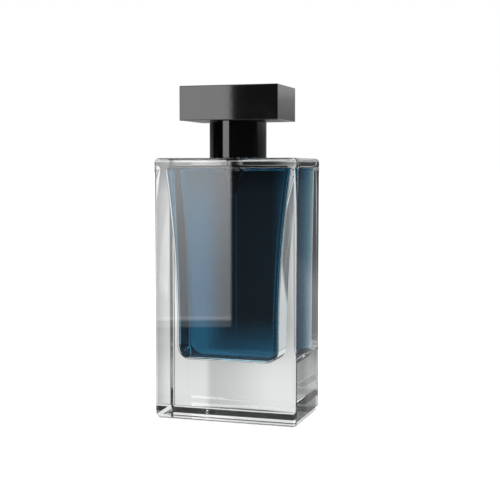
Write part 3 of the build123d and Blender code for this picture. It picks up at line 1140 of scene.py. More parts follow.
@dataclass
class GlassBlock(Assembly):
    """The bottle's glass and the liquid in it.

    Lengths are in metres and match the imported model; overall sizes are read from it. The
    meniscus_rows are the first and last distance from the wall, and their count.
    """

    upright_edge: float = 1.3 * MM
    shoulder_edge: float = 1.7 * MM
    base_edge: float = 2.2 * MM
    front_wall: float = 6.2 * MM
    side_wall_top: float = 3.25 * MM
    side_wall_low: float = 8.75 * MM
    shoulder_thickness: float = 3.0 * MM
    upright_rise: float = 8.1 * MM
    floor_corner: float = 6.0 * MM
    cavity_edge: float = 2.4 * MM
    wet_gap: float = 0.04 * MM
    neck_wall: float = 1.8 * MM
    bore: float = 4.7 * MM
    bead_overhang: float = 1.0 * MM
    bead_height: float = 3.6 * MM
    bead_chamfer: float = 0.8 * MM
    neck_edge: float = 0.3 * MM
    root: float = 0.9 * MM
    wetting: float = 0.06 * MM
    meniscus_rise: float = 0.55 * MM
    meniscus_reach: float = 0.7 * MM
    meniscus_rows: tuple[float, float, int] = (0.1 * MM, 8.0 * MM, 10)
    wall_steps: int = 40
    arc_steps: int = 12

    def __post_init__(self) -> None:
        """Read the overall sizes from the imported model."""
        low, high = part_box("glass_bottle")
        self.half_x, self.half_y, self.neck_top = high.x, high.y, high.z
        self.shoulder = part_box("collar_shell")[0].z
        fill_low, fill_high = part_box("aftershave_fill")
        self.floor = fill_low.z - self.wet_gap
        self.level = fill_high.z
        self.ceiling = self.shoulder - self.shoulder_thickness
        self.columns = Columns.rectangle(self.half_x, self.half_y)

    def cavity(self, shift: float, top: float) -> Rows:
        """Sections of the cavity from the middle of its floor up its walls.

        In front view the floor turns up in an arc of floor_corner; the side wall stands upright
        and then leans out along one large arc, half = low + R - sqrt(R^2 - (z - bend)^2). The
        front and back walls stand upright, and all edges along them have the radius cavity_edge.

        Args:
            shift: How far the surface stands off the wall, outwards; the liquid wets into it.
            top: The height where the walk ends.

        Returns:
            The sections, from a point on the floor's middle to the top.
        """
        half_low = self.half_x - self.side_wall_low + shift
        half_top = self.half_x - self.side_wall_top + shift
        half_y = self.half_y - self.front_wall + shift
        floor, ceiling = self.floor - shift, self.ceiling + shift
        corner, edge = self.floor_corner + shift, self.cavity_edge + shift
        bend = self.floor + self.upright_rise
        lean, rise = half_top - half_low, ceiling - bend
        radius = (rise ** 2 + lean ** 2) / (2 * lean)

        angle = np.linspace(0, np.pi / 2, 2 * self.arc_steps + 1)
        low_z = floor + corner * (1 - np.cos(angle))
        wall_z = np.linspace(bend, ceiling - edge, self.wall_steps + 1)
        reach = np.arcsin(1 - (ceiling - top) / edge)
        high_z = ceiling - edge * (1 - np.sin(np.linspace(0, reach, self.arc_steps + 1)))
        height = np.concatenate([low_z, wall_z, high_z])

        above = np.maximum(height - bend, 0)
        wall_x = half_low + radius - np.sqrt(radius ** 2 - above ** 2)
        wall_lean = above / np.sqrt(radius ** 2 - above ** 2)
        foot = np.clip(1 - (height - floor) / corner, 0, 1)
        foot_y = np.clip(1 - (height - floor) / edge, 0, 1)
        head = np.clip(1 - (ceiling - height) / edge, 0, 1)

        def drawn_in(size: float, share: Array) -> tuple[Array, Array]:
            """How far a quarter circle stands inside its wall, and its slope per unit of height."""
            flat = np.sqrt(np.maximum(1 - share ** 2, 1e-9))
            return size * (1 - flat), share / flat

        foot_in, foot_slope = drawn_in(corner, foot)
        foot_in_y, foot_slope_y = drawn_in(edge, foot_y)
        head_in, head_slope = drawn_in(edge, head)
        half = np.stack([wall_x - foot_in - head_in, half_y - foot_in_y - head_in], 1)
        slope = np.stack([wall_lean + foot_slope - head_slope, foot_slope_y - head_slope], 1)
        tight = edge - foot_in_y - head_in
        rows = Rows(half, tight, height, slope, foot_slope_y - head_slope, np.ones_like(height))
        level_walk = (np.ones((1, 2)), np.zeros(1), np.zeros(1))
        middle = Rows(np.zeros((1, 2)), np.zeros(1), height[:1], *level_walk)
        floor_edge = Rows(half[:1], tight[:1], height[:1], *level_walk)
        return middle + floor_edge + rows

    def glass(self) -> Skin:
        """One closed sheet: outside, shoulder, neck, bore, ceiling and cavity.

        The outside is a rectangle whose edges at the base and the shoulder are quarter circles.

        Returns:
            The skin.
        """
        waist = (0, self.shoulder / 2, 0)
        base = [(-self.half_y, 0, 0), (0, 0, self.base_edge), waist]
        top = [waist, (0, self.shoulder, self.shoulder_edge), (-self.half_y, self.shoulder, 0)]
        lower = walk_round(base, closed=False, steps=self.arc_steps)
        upper = walk_round(top, closed=False, steps=self.arc_steps)[:-1]
        size = (self.half_x, self.half_y, self.upright_edge)
        skin = Skin().loft(self.columns, Rows.framed(lower, *size, self.upright_edge / self.base_edge))
        skin.loft(self.columns, Rows.framed(upper, *size, self.upright_edge / self.shoulder_edge))

        rim = skin.points[-1][-1]
        angles = np.unwrap(np.arctan2(rim[:, 1], rim[:, 0]))
        round_columns = Columns.at(angles)
        neck = self.bore + self.neck_wall
        bead = neck + self.bead_overhang
        bead_low = self.neck_top - self.bead_height
        small = self.neck_edge
        profile = [
            (neck + 2 * self.root, self.shoulder, 0),
            (neck, self.shoulder, self.root),
            (neck, bead_low, small / 3),
            (bead - self.bead_chamfer, bead_low, small / 3),
            (bead, bead_low + self.bead_chamfer, small),
            (bead, self.neck_top, 2 * small),
            (self.bore, self.neck_top, small),
            (self.bore, self.ceiling, small),
            (self.bore + 2 * small, self.ceiling, 0),
        ]
        throat = Rows.turned(walk_round(profile, closed=False, steps=self.arc_steps // 2))
        skin.between(rim, level_ring(round_columns, throat, 0), np.array((0, 0, 1.0)), 3)
        skin.loft(round_columns, throat)
        cavity = self.cavity(0, self.ceiling - 1e-9)
        inner_rim = level_ring(self.columns, cavity, -1)
        skin.between(skin.points[-1][-1], inner_rim, np.array((0, 0, -1.0)), 3)
        return skin.loft(self.columns, cavity.back())

    def liquid(self) -> Skin:
        """The liquid: it wets the walls and climbs them a little at its surface.

        The surface is level + rise * exp(-distance / reach) at a distance from the wall.

        Returns:
            The skin.
        """
        contact = self.level + self.meniscus_rise
        walls = self.cavity(self.wetting, contact)
        distance = np.concatenate([[0], np.geomspace(*self.meniscus_rows)])
        climb = self.meniscus_rise * np.exp(-distance / self.meniscus_reach)
        slope = climb / self.meniscus_reach
        half = walls.half[-1] - distance[:, None]
        corner = np.maximum(walls.corner[-1] - distance, 0)
        shrinking = -np.ones((len(distance), 2))
        surface = Rows(half, corner, self.level + climb, shrinking, -np.ones(len(distance)), -slope)
        still = np.zeros(1)
        middle = Rows(np.zeros((1, 2)), still, np.array([self.level]), shrinking[:1], still, still)
        return Skin().loft(self.columns, walls).loft(self.columns, surface + middle)

    def pieces(self) -> Iterable[bpy.types.Object]:
        """Make the glass and the liquid.

        Returns:
            The glass, then the liquid.
        """
        glass = self.piece("glass_bottle", Look.GLASS, self.glass())
        liquid = self.piece("aftershave_fill", Look.LIQUID, self.liquid())
        for clear in (glass, liquid):
            clear.visible_shadow = False
            yield clear


@dataclass
class CrimpPump(Assembly):
    """The pump: everything that the ferrule holds in the neck.

    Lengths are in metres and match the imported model; outer sizes and heights are read from it.
    A plain name, such as barrel or lip, is a radius.
    """

    press_gap: float = 0.02 * MM
    running_fit: float = 0.03 * MM
    slip_fit: float = 0.05 * MM
    ring_edge: float = 0.12 * MM
    fine_edge: float = 0.05 * MM
    neck_bore: float = 4.7 * MM

    ferrule_sheet: float = 0.35 * MM
    ferrule_roll: float = 0.6 * MM
    ferrule_crease: float = 0.3 * MM
    ferrule_bend: float = 0.4 * MM
    turned_in: float = 1.1 * MM
    outer_turn: float = 1.05 * MM
    inner_turn: float = 1.15 * MM

    barrel: float = 4.4 * MM
    barrel_bore: float = 3.0 * MM
    barrel_depth: float = 16.8 * MM
    pocket: float = 1.45 * MM
    pocket_outer: float = 3.0 * MM
    lip: float = 1.1 * MM
    lip_height: float = 0.7 * MM
    passage: float = 0.7 * MM
    passage_length: float = 1.0 * MM
    tail: float = 2.2 * MM

    turret: float = 4.8 * MM
    turret_chamfer: float = 0.35 * MM

    stem: float = 1.6 * MM
    stem_bore: float = 0.6 * MM
    stem_port: float = 0.4 * MM
    spigot: float = 1.7 * MM
    spigot_height: float = 1.0 * MM

    piston_recess: float = 0.35 * MM
    piston_lip: float = 0.7 * MM
    piston_waist: float = 0.4 * MM
    piston_edge: float = 0.08 * MM

    ball_steps: int = 24
    tube_bore: float = 0.65 * MM
    tube_cut: float = math.radians(30)

    spring_wire: float = 0.225 * MM
    spring_turns: int = 8
    dead_turns: float = 1.0
    dead_pitch: float = 1.02
    faces_per_turn: int = 40
    faces_round_wire: int = 12
    faces_on_tip: int = 4

    def ring(self, node: str, inner: float) -> Skin:
        """A plain ring with softened edges, from the node's box and its inner radius.

        Args:
            node: The CAD node.
            inner: The radius of its hole.

        Returns:
            The skin.
        """
        low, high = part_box(node)
        edge = min(self.ring_edge, (high.z - low.z) / 4)
        return turned_skin([
            (inner, low.z, edge), (high.x, low.z, edge), (high.x, high.z, edge), (inner, high.z, edge),
        ])

    def ferrule(self) -> Skin:
        """Aluminium cup with a rolled top edge and its lower edge turned in under the bead.

        Returns:
            The skin.
        """
        low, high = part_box("crimp_ferrule")
        hole = self.turret + self.slip_fit
        inner, roof = high.x - self.ferrule_sheet, high.z - self.ferrule_sheet
        end = high.x - self.turned_in
        step = self.ferrule_sheet * math.sqrt(0.5)
        return turned_skin([
            (hole, roof, self.fine_edge),
            (inner, roof, self.ferrule_crease),
            (inner, low.z + self.inner_turn, self.ferrule_bend),
            (end - step, low.z + step, self.fine_edge),
            (end, low.z, self.fine_edge),
            (high.x, low.z + self.outer_turn, self.ferrule_roll),
            (high.x, high.z, self.ferrule_roll),
            (hole, high.z, self.fine_edge),
        ], columns=96)

    def spring(self) -> Skin:
        """Coil with a closed turn at each end.

        The centre line is (R cos a, R sin a, z); z climbs by one wire in each end turn and
        evenly between them. The wire's section turns about the line, with rounded ends.

        Returns:
            The skin.
        """
        low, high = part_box("return_spring")
        wire, turns = self.spring_wire, self.spring_turns
        radius = high.x - wire
        angle = np.linspace(0, 2 * np.pi * turns, turns * self.faces_per_turn + 1)
        climb = high.z - low.z - 2 * wire
        end = 2 * wire * self.dead_turns * self.dead_pitch
        bends = [0, self.dead_turns, turns - self.dead_turns, turns]
        height = low.z + wire + np.interp(angle / (2 * np.pi), bends, [0, end, climb - end, climb])
        line = np.stack([radius * np.cos(angle), radius * np.sin(angle), height], 1)
        along = np.gradient(line, angle, axis=0)
        along /= np.linalg.norm(along, axis=1, keepdims=True)
        outward = np.stack([np.cos(angle), np.sin(angle), np.zeros_like(angle)], 1)
        upward = np.cross(along, outward)

        tip = np.linspace(0, np.pi / 2, self.faces_on_tip + 1)
        last, between = len(line) - 1, np.arange(1, len(line) - 1)
        pick = np.concatenate([np.zeros(len(tip), int), between, np.full(len(tip), last)])
        size = np.concatenate([np.sin(tip), np.ones(len(between)), np.sin(tip[::-1])])
        shift = np.concatenate([-np.cos(tip), np.zeros(len(between)), np.cos(tip[::-1])])
        spin = np.linspace(0, 2 * np.pi, self.faces_round_wire + 1)[None, :, None]
        across = np.cos(spin) * outward[pick][:, None] + np.sin(spin) * upward[pick][:, None]
        normals = across * size[:, None, None] + (along[pick] * shift[:, None])[:, None]
        return Skin().grid(line[pick][:, None] + wire * normals, normals)

    def tube(self) -> Skin:
        """Thin clear tube whose lower end is cut at a slant.

        Returns:
            The skin.
        """
        low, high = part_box("dip_tube")
        edge = self.fine_edge
        skin = turned_skin([
            (self.tube_bore, low.z, edge), (high.x, low.z, edge),
            (high.x, high.z, edge), (self.tube_bore, high.z, edge),
        ], columns=48, steps=3)
        points = skin.points[0]
        lower_end = points[..., 2] < (low.z + high.z) / 2
        points[..., 2] += lower_end * (points[..., 0] + high.x) * math.tan(self.tube_cut)
        return skin

    def ball(self) -> Skin:
        """A steel ball: radius times (cos a cos b, cos a sin b, sin a).

        Returns:
            The skin.
        """
        low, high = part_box("inlet_ball")
        radius, middle = high.x, (low.z + high.z) / 2
        angle = np.linspace(-np.pi / 2, np.pi / 2, self.ball_steps + 1)
        cosine, sine = np.cos(angle), np.sin(angle)
        walk = np.stack([radius * cosine, middle + radius * sine, -sine, cosine], 1)
        return Skin().loft(Columns.round(48), Rows.turned(walk))

    def housing(self) -> Skin:
        """Barrel with its flange, the ball's pocket and seat, and the tail for the tube.

        Returns:
            The skin.
        """
        low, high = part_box("pump_housing")
        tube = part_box("dip_tube")[1]
        flange_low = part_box("neck_gasket")[1].z
        socket = tube.x + self.press_gap
        spring_seat = high.z - self.barrel_depth
        lip_low = spring_seat - self.lip_height
        ball_seat = tube.z + self.passage_length
        return lathe([
            (socket, low.z),
            (self.tail, low.z),
            (self.tail, tube.z),
            (self.pocket_outer, tube.z + self.pocket_outer - self.tail),
            (self.pocket_outer, spring_seat - self.barrel + self.pocket_outer),
            (self.barrel, spring_seat),
            (self.barrel, flange_low),
            (high.x, flange_low),
            (high.x, high.z),
            (self.barrel_bore, high.z),
            (self.barrel_bore, spring_seat),
            (self.lip, spring_seat),
            (self.lip, lip_low),
            (self.pocket, lip_low),
            (self.pocket, ball_seat + self.pocket - self.passage),
            (self.passage, ball_seat),
            (self.passage, tube.z),
            (socket, tube.z),
        ])

    def tower(self) -> Skin:
        """The turret: flange, tower and plug.

        Returns:
            The skin.
        """
        low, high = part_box("pump_turret")
        guide = self.stem + self.running_fit
        plug = self.barrel_bore - self.press_gap
        flange_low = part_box("pump_housing")[1].z
        flange_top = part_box("crimp_ferrule")[1].z - self.ferrule_sheet
        return lathe([
            (guide, low.z),
            (plug, low.z),
            (plug, flange_low),
            (high.x, flange_low),
            (high.x, flange_top),
            (self.turret, flange_top),
            (self.turret, high.z - self.turret_chamfer),
            (self.turret - self.turret_chamfer, high.z),
            (guide, high.z),
        ])

    def piston(self) -> Skin:
        """Two lips and a waist, with a recess over the stem's ports.

        Returns:
            The skin.
        """
        low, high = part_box("pump_piston")
        recess, inner = self.stem + self.piston_recess, self.stem + self.press_gap
        waist = high.x - self.piston_waist
        middle = (low.z + high.z) / 2
        return lathe([
            (recess, low.z),
            (high.x, low.z),
            (high.x, low.z + self.piston_lip),
            (waist, low.z + self.piston_lip + self.piston_waist),
            (waist, high.z - self.piston_lip - self.piston_waist),
            (high.x, high.z - self.piston_lip),
            (high.x, high.z),
            (inner, high.z),
            (inner, middle),
            (recess, middle),
        ], self.piston_edge)

    def hollow_stem(self) -> Skin:
        """Stem with its flange and the spigot that centres the spring.

        Returns:
            The skin.
        """
        low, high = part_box("pump_stem")
        flange_low = low.z + self.spigot_height
        flange_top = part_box("pump_piston")[0].z
        bore_floor = flange_top + self.stem_port
        return lathe([
            (0, low.z),
            (self.spigot, low.z),
            (self.spigot, flange_low),
            (high.x, flange_low),
            (high.x, flange_top),
            (self.stem, flange_top),
            (self.stem, high.z),
            (self.stem_bore, high.z),
            (self.stem_bore, bore_floor),
            (0, bore_floor),
        ], closed=False, columns=48)

    def pieces(self) -> Iterable[bpy.types.Object]:
        """Make the pump from the outside in.

        Returns:
            The pump's pieces, one by one.
        """
        neck_gasket = self.ring("neck_gasket", self.neck_bore - self.slip_fit)
        stem_gasket = self.ring("stem_gasket", self.stem + self.running_fit)
        yield self.piece("crimp_ferrule", Look.FERRULE, self.ferrule())
        yield self.piece("neck_gasket", Look.RUBBER, neck_gasket)
        yield self.piece("stem_gasket", Look.RUBBER, stem_gasket)
        yield self.piece("pump_housing", Look.BARREL, self.housing())
        yield self.piece("pump_turret", Look.PUMP, self.tower())
        yield self.piece("dip_tube", Look.TUBE, self.tube())
        yield self.piece("inlet_ball", Look.STEEL, self.ball(), "check_ball")
        yield self.piece("pump_piston", Look.PISTON, self.piston(), "plunger")
        yield self.piece("pump_stem", Look.PUMP, self.hollow_stem(), "plunger")
        yield self.squashed_spring()

    def squashed_spring(self) -> bpy.types.Object:
        """The spring, on a mesh of its own; how much of its length stays at full press is worked out but
        not used.

        Returns:
            The spring.
        """
        spring = self.piece("return_spring", Look.STEEL, self.spring())
        low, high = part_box("return_spring")
        travel = next(joint["range_m"][1] for joint in frame["joints"] if joint["name"] == "pump_press")
        keep = 1 - travel / (high.z - low.z)
        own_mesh(spring)
        return spring


@dataclass
class SprayHead(Assembly):
    """The actuator that the finger presses, with a window for the nozzle.

    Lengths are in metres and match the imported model; outer sizes are read from it. The patch of
    wall round the window starts window_drop below the nozzle's axis and ends window_roof below
    the roof. The window, the nozzle's bore, the orifice and the dish are radii.
    """

    body = "spray_head"
    sheet: float = 0.35 * MM
    edge: float = 0.05 * MM
    window: float = 2.5 * MM
    window_drop: float = 3.0 * MM
    window_roof: float = 0.05 * MM
    columns: int = 96
    window_columns: int = 7
    window_rows: int = 9
    window_rings: int = 6

    nozzle_wall: float = 0.7 * MM
    nozzle_bore: float = 1.22 * MM
    nozzle_edge: float = 0.2 * MM
    orifice: float = 0.2 * MM
    dish: float = 0.65 * MM
    dish_depth: float = 0.35 * MM

    def __post_init__(self) -> None:
        """Read the sleeve's sizes and the nozzle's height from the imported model."""
        low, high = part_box("button_sleeve")
        self.foot, self.top, self.outer = low.z, high.z, high.x
        self.inner, self.roof = self.outer - self.sheet, self.top - self.sheet
        nozzle_low, nozzle_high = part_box("nozzle_insert")
        self.nozzle_height = (nozzle_low.z + nozzle_high.z) / 2
        low_level, high_level = self.nozzle_height - self.window_drop, self.roof - self.window_roof
        self.levels = np.linspace(low_level, high_level, self.window_rows)

    def nozzle(self) -> Skin:
        """Small cup, open behind, with the spray orifice in a shallow dish in front.

        Returns:
            The skin.
        """
        low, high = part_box("nozzle_insert")
        front, back = -low.y, -high.y
        dish_floor, wall_back = front - self.dish_depth, front - self.nozzle_wall
        cup = lathe([
            (self.nozzle_bore, back), (high.x, back), (high.x, front), (self.dish, front),
            (self.orifice, dish_floor), (self.orifice, wall_back), (self.nozzle_bore, wall_back),
        ], self.nozzle_edge, columns=48)
        return cup.facing_front(self.nozzle_height)

    def window_patch(self, radius: float, outward: float) -> Skin:
        """The wall round the window, between the window's rim and a patch of the cylinder.

        Lines run from the rim, a circle of radius window seen from the front, to the patch's
        border. Each point then goes back on the cylinder: y = -sqrt(radius^2 - x^2).

        Args:
            radius: The cylinder's radius.
            outward: 1 on the outside, -1 on the inside.

        Returns:
            The skin.
        """
        step = 2 * np.pi / self.columns
        across = radius * np.sin(np.arange(-self.window_columns, self.window_columns + 1) * step)
        up = self.levels
        border = np.concatenate([
            np.stack([across, np.full_like(across, up[0])], 1)[:-1],
            np.stack([np.full_like(up, across[-1]), up], 1)[:-1],
            np.stack([across[::-1], np.full_like(across, up[-1])], 1)[:-1],
            np.stack([np.full_like(up, across[0]), up[::-1]], 1),
        ])
        centre = np.array((0, self.nozzle_height))
        spoke = border - centre
        rim = centre + spoke / np.linalg.norm(spoke, axis=1, keepdims=True) * self.window
        share = np.linspace(0, 1, self.window_rings)[:, None, None]
        flat = rim * (1 - share) + border * share
        if outward > 0:
            flat = flat[::-1]
        depth = -np.sqrt(radius ** 2 - flat[..., 0] ** 2)
        points = np.stack([flat[..., 0], depth, flat[..., 1]], -1)
        return Skin().grid(points, points * (outward, outward, 0))

    def sleeve(self) -> Skin:
        """Thin metal skin, open below, with a round window for the nozzle.

        Returns:
            The skin.
        """
        inner, outer, levels = self.inner, self.outer, self.levels
        walk = walk_round([
            (0, self.roof, 0), (inner, self.roof, 0), *((inner, level, 0) for level in levels[::-1]),
            (inner, self.foot, self.edge), (outer, self.foot, self.edge),
            *((outer, level, 0) for level in levels), (outer, self.top, self.sheet), (0, self.top, 0),
        ], closed=False, steps=6)
        angles = np.linspace(-np.pi / 2, 3 * np.pi / 2, self.columns + 1)
        skin = Skin().loft(Columns.at(angles), Rows.turned(walk))

        height = (skin.points[0][:-1, 0, 2] + skin.points[0][1:, 0, 2]) / 2
        upright = walk[:-1, 0] > inner - self.sheet
        beside = (height > levels[0]) & (height < levels[-1]) & upright
        turn = np.arange(self.columns) + 0.5
        in_front = np.minimum(turn, self.columns - turn) < self.window_columns
        skin.kept[0] &= ~(beside[:, None] & in_front[None])
        outside, inside = self.window_patch(outer, 1), self.window_patch(inner, -1)
        outer_rim, inner_rim = outside.points[0][-1], inside.points[0][0]
        centre = np.array((0, 0, self.nozzle_height))
        return skin.joined(outside, inside).between(outer_rim, inner_rim, (centre - outer_rim) * (1, 0, 1))

    def pieces(self) -> Iterable[bpy.types.Object]:
        """Make the actuator.

        Returns:
            The sleeve, the button and the nozzle.
        """
        yield self.piece("button_sleeve", Look.COLLAR, self.sleeve())
        yield self.piece("spray_button", Look.BUTTON)
        yield self.piece("nozzle_insert", Look.BUTTON, self.nozzle())


@dataclass
class Collar(Assembly):
    """The glossy collar and the plastic core inside it, which grips the ferrule.

    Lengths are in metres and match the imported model; outer sizes are read from it. hole_gap and
    spigot_inset are measured from the collar's outside, grip_foot from the shoulder, and bead
    from the neck's top. ledge_bore is a radius.
    """

    wall: float = 0.8 * MM
    hole_gap: float = 2.15 * MM
    edge: float = 0.22 * MM
    small: float = 0.08 * MM
    press_gap: float = 0.02 * MM
    slip_fit: float = 0.05 * MM

    core_edge: float = 0.15 * MM
    core_wall: float = 1.1 * MM
    grip_wall: float = 1.15 * MM
    grip_foot: float = 2.5 * MM
    web: float = 1.2 * MM
    bead: float = 3.6 * MM
    snap_bite: float = 0.45 * MM
    ledge: float = 0.7 * MM
    ledge_bore: float = 7.2 * MM
    spigot_inset: float = 2.55 * MM
    spigot_wall: float = 1.2 * MM
    spigot_chamfer: float = 0.4 * MM
    key_half: float = 1.0 * MM
    key_depth: float = 0.3 * MM
    key_root: float = 0.5 * MM

    def shell(self) -> Skin:
        """A tube with a turned-in top; its outer edges are softly rounded.

        Returns:
            The skin.
        """
        low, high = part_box("collar_shell")
        inner = high.x - self.wall
        hole = high.x - self.hole_gap
        return turned_skin([
            (inner, low.z, self.small),
            (high.x, low.z, self.edge),
            (high.x, high.z, self.edge),
            (hole, high.z, self.small),
            (hole, high.z - self.wall, self.small),
            (inner, high.z - self.wall, self.small),
        ], columns=128, steps=6)

    def core(self) -> Skin:
        """Grip for the ferrule, ledge, spigot with its key, and outer tube.

        Returns:
            The skin.
        """
        low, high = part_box("collar_insert")
        shell_low, shell_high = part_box("collar_shell")
        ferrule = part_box("crimp_ferrule")[1]
        roof = shell_high.z - self.wall
        grip = ferrule.x + self.slip_fit
        grip_outer, tube_inner = grip + self.grip_wall, high.x - self.core_wall
        grip_foot = shell_low.z + self.grip_foot
        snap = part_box("glass_bottle")[1].z - self.bead + self.slip_fit
        ledge_top = ferrule.z + self.ledge
        spigot = shell_high.x - self.spigot_inset
        spigot_inner = spigot - self.spigot_wall
        chamfer_low = high.z - self.spigot_chamfer
        core = lathe([
            (grip_outer, grip_foot),
            (grip_outer, roof - self.web),
            (tube_inner, roof - self.web),
            (tube_inner, low.z),
            (high.x, low.z),
            (high.x, roof - self.press_gap),
            (spigot, roof - self.press_gap),
            (spigot, chamfer_low),
            (spigot - self.spigot_chamfer, high.z),
            (spigot_inner, high.z),
            (spigot_inner, ledge_top),
            (self.ledge_bore, ledge_top),
            (self.ledge_bore, ferrule.z),
            (grip, ferrule.z),
            (grip, snap),
            (grip - self.snap_bite, snap - self.snap_bite),
            (grip - self.snap_bite, grip_foot),
        ], self.core_edge, columns=96)
        key_low = (-self.key_half, spigot - self.key_root, shell_high.z)
        key_high = (self.key_half, spigot + self.key_depth, chamfer_low)
        return core.joined(block_skin(key_low, key_high, self.small, self.small))

    def pieces(self) -> Iterable[bpy.types.Object]:
        """Make the collar."""
        yield self.piece("collar_shell", Look.COLLAR, self.shell())
        yield self.piece("collar_insert", Look.INSERT, self.core())


@dataclass
class Cap(Assembly):
    """The loose rectangular cap with its liner and weights.

    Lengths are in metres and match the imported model; outer sizes are read from it. The socket,
    groove_reach and rib_reach are radii; groove and rib_half are half widths.
    """

    body = "cap"
    wall: float = 1.6 * MM
    edge: float = 0.35 * MM
    small: float = 0.1 * MM

    plate: float = 1.4 * MM
    plate_corner: float = 0.3 * MM
    socket_bore: float = 9.95 * MM
    socket_outer: float = 11.2 * MM
    groove: float = 1.4 * MM
    groove_reach: float = 10.1 * MM
    rib_places: int = 6
    rib_reach: float = 9.75 * MM
    rib_root: float = 0.2 * MM
    rib_half: float = 0.5 * MM
    rib_edge: float = 0.05 * MM

    slug_gap: float = 0.3 * MM
    slug_corner: float = 0.8 * MM
    slug_edge: float = 0.15 * MM

    def shell(self) -> Skin:
        """A box open below; every outer edge is a small quarter circle.

        Returns:
            The skin.
        """
        low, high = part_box("cap_shell")
        ceiling = high.z - self.wall
        far = -high.y
        walk = walk_round([
            (far, ceiling, 0),
            (-self.wall, ceiling, 0),
            (-self.wall, low.z, self.small),
            (0, low.z, self.edge),
            (0, high.z, self.edge),
            (far, high.z, 0),
        ], closed=False, steps=6)
        columns = Columns.rectangle(high.x, high.y, 6, 4)
        return Skin().loft(columns, Rows.framed(walk, high.x, high.y, self.edge))

    def liner(self) -> Skin:
        """Rectangular plate with a round ribbed socket; one sheet, and one block for each rib.

        The ribs stand half a place from the socket's sides, and the key's groove is in the place
        of the one at the back.

        Returns:
            The skin.
        """
        low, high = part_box("cap_liner")
        plate_top = low.z + self.plate
        columns = Columns.rectangle(high.x, high.y, 4, 12)
        side = walk_round([(0, low.z, self.small), (0, plate_top, self.small)], closed=False, steps=3)
        rim = Rows.framed(side, high.x, high.y, self.plate_corner)
        low_rim, high_rim = level_ring(columns, rim, 0), level_ring(columns, rim, -1)
        turns = Columns.at(np.unwrap(np.arctan2(low_rim[:, 1], low_rim[:, 0])))
        socket = Rows.turned(walk_round([
            (self.socket_outer, plate_top, 0), (self.socket_outer, high.z, self.small),
            (self.socket_bore, high.z, self.small), (self.socket_bore, low.z, 0),
        ], closed=False, steps=4))
        skin = Skin().loft(columns, rim).loft(turns, socket)
        wall = skin.points[1]
        bored = np.hypot(wall[..., 0], wall[..., 1]) < self.socket_bore + self.small
        groove = bored & (wall[..., 1] > 0) & (np.abs(wall[..., 0]) < self.groove)
        wall[groove, :2] *= self.groove_reach / self.socket_bore
        skin.between(high_rim, wall[0], np.array((0, 0, 1.0)), 2)
        skin.between(wall[-1], low_rim, np.array((0, 0, -1.0)), 2)

        rib_low = (self.rib_reach, -self.rib_half, low.z)
        rib_high = (self.socket_bore + self.rib_root, self.rib_half, high.z)
        place = 2 * math.pi / self.rib_places
        for index in range(1, self.rib_places):
            rib = block_skin(rib_low, rib_high, self.rib_edge, self.rib_edge)
            skin.joined(rib.turned_about_z(math.pi / 2 + index * place))
        return skin

    def weights(self) -> Skin:
        """Two steel slugs with rounded upright edges, left and right of the socket.

        Returns:
            The skin of both slugs.
        """
        low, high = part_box("cap_weights")
        inner = self.socket_outer + self.slug_gap
        edges = (self.slug_corner, self.slug_edge)
        right = block_skin((inner, low.y, low.z), (high.x, high.y, high.z), *edges)
        left = block_skin((low.x, low.y, low.z), (-inner, high.y, high.z), *edges)
        return right.joined(left)

    def pieces(self) -> Iterable[bpy.types.Object]:
        """Make the cap.

        Returns:
            The shell, the liner and the weights.
        """
        yield self.piece("cap_shell", Look.CAP, self.shell())
        yield self.piece("cap_liner", Look.INSERT, self.liner())
        yield self.piece("cap_weights", Look.WEIGHT, self.weights())


# ============================================================ studio
@dataclass(frozen=True)
class Card:
    """A dark card round the bottle that only glass and gloss see.

    Attributes:
        heading: Its right and left border, in degrees from the back, growing to the left.
        soft: How far each border fades, in degrees.
        shade: How much of the table's light it takes away.
        foot: The two rises between which it comes in; without them it stands all the way down.
    """

    heading: Pair
    soft: float
    shade: float
    foot: Pair | None = None

    def cover(self, heading: Wire, rise: Wire) -> Wire:
        """Its shade in each direction."""
        shade = self.shade if self.foot is None else rise.ramp(*self.foot, 0.0, self.shade)
        return heading.within(*self.heading, self.soft) * shade


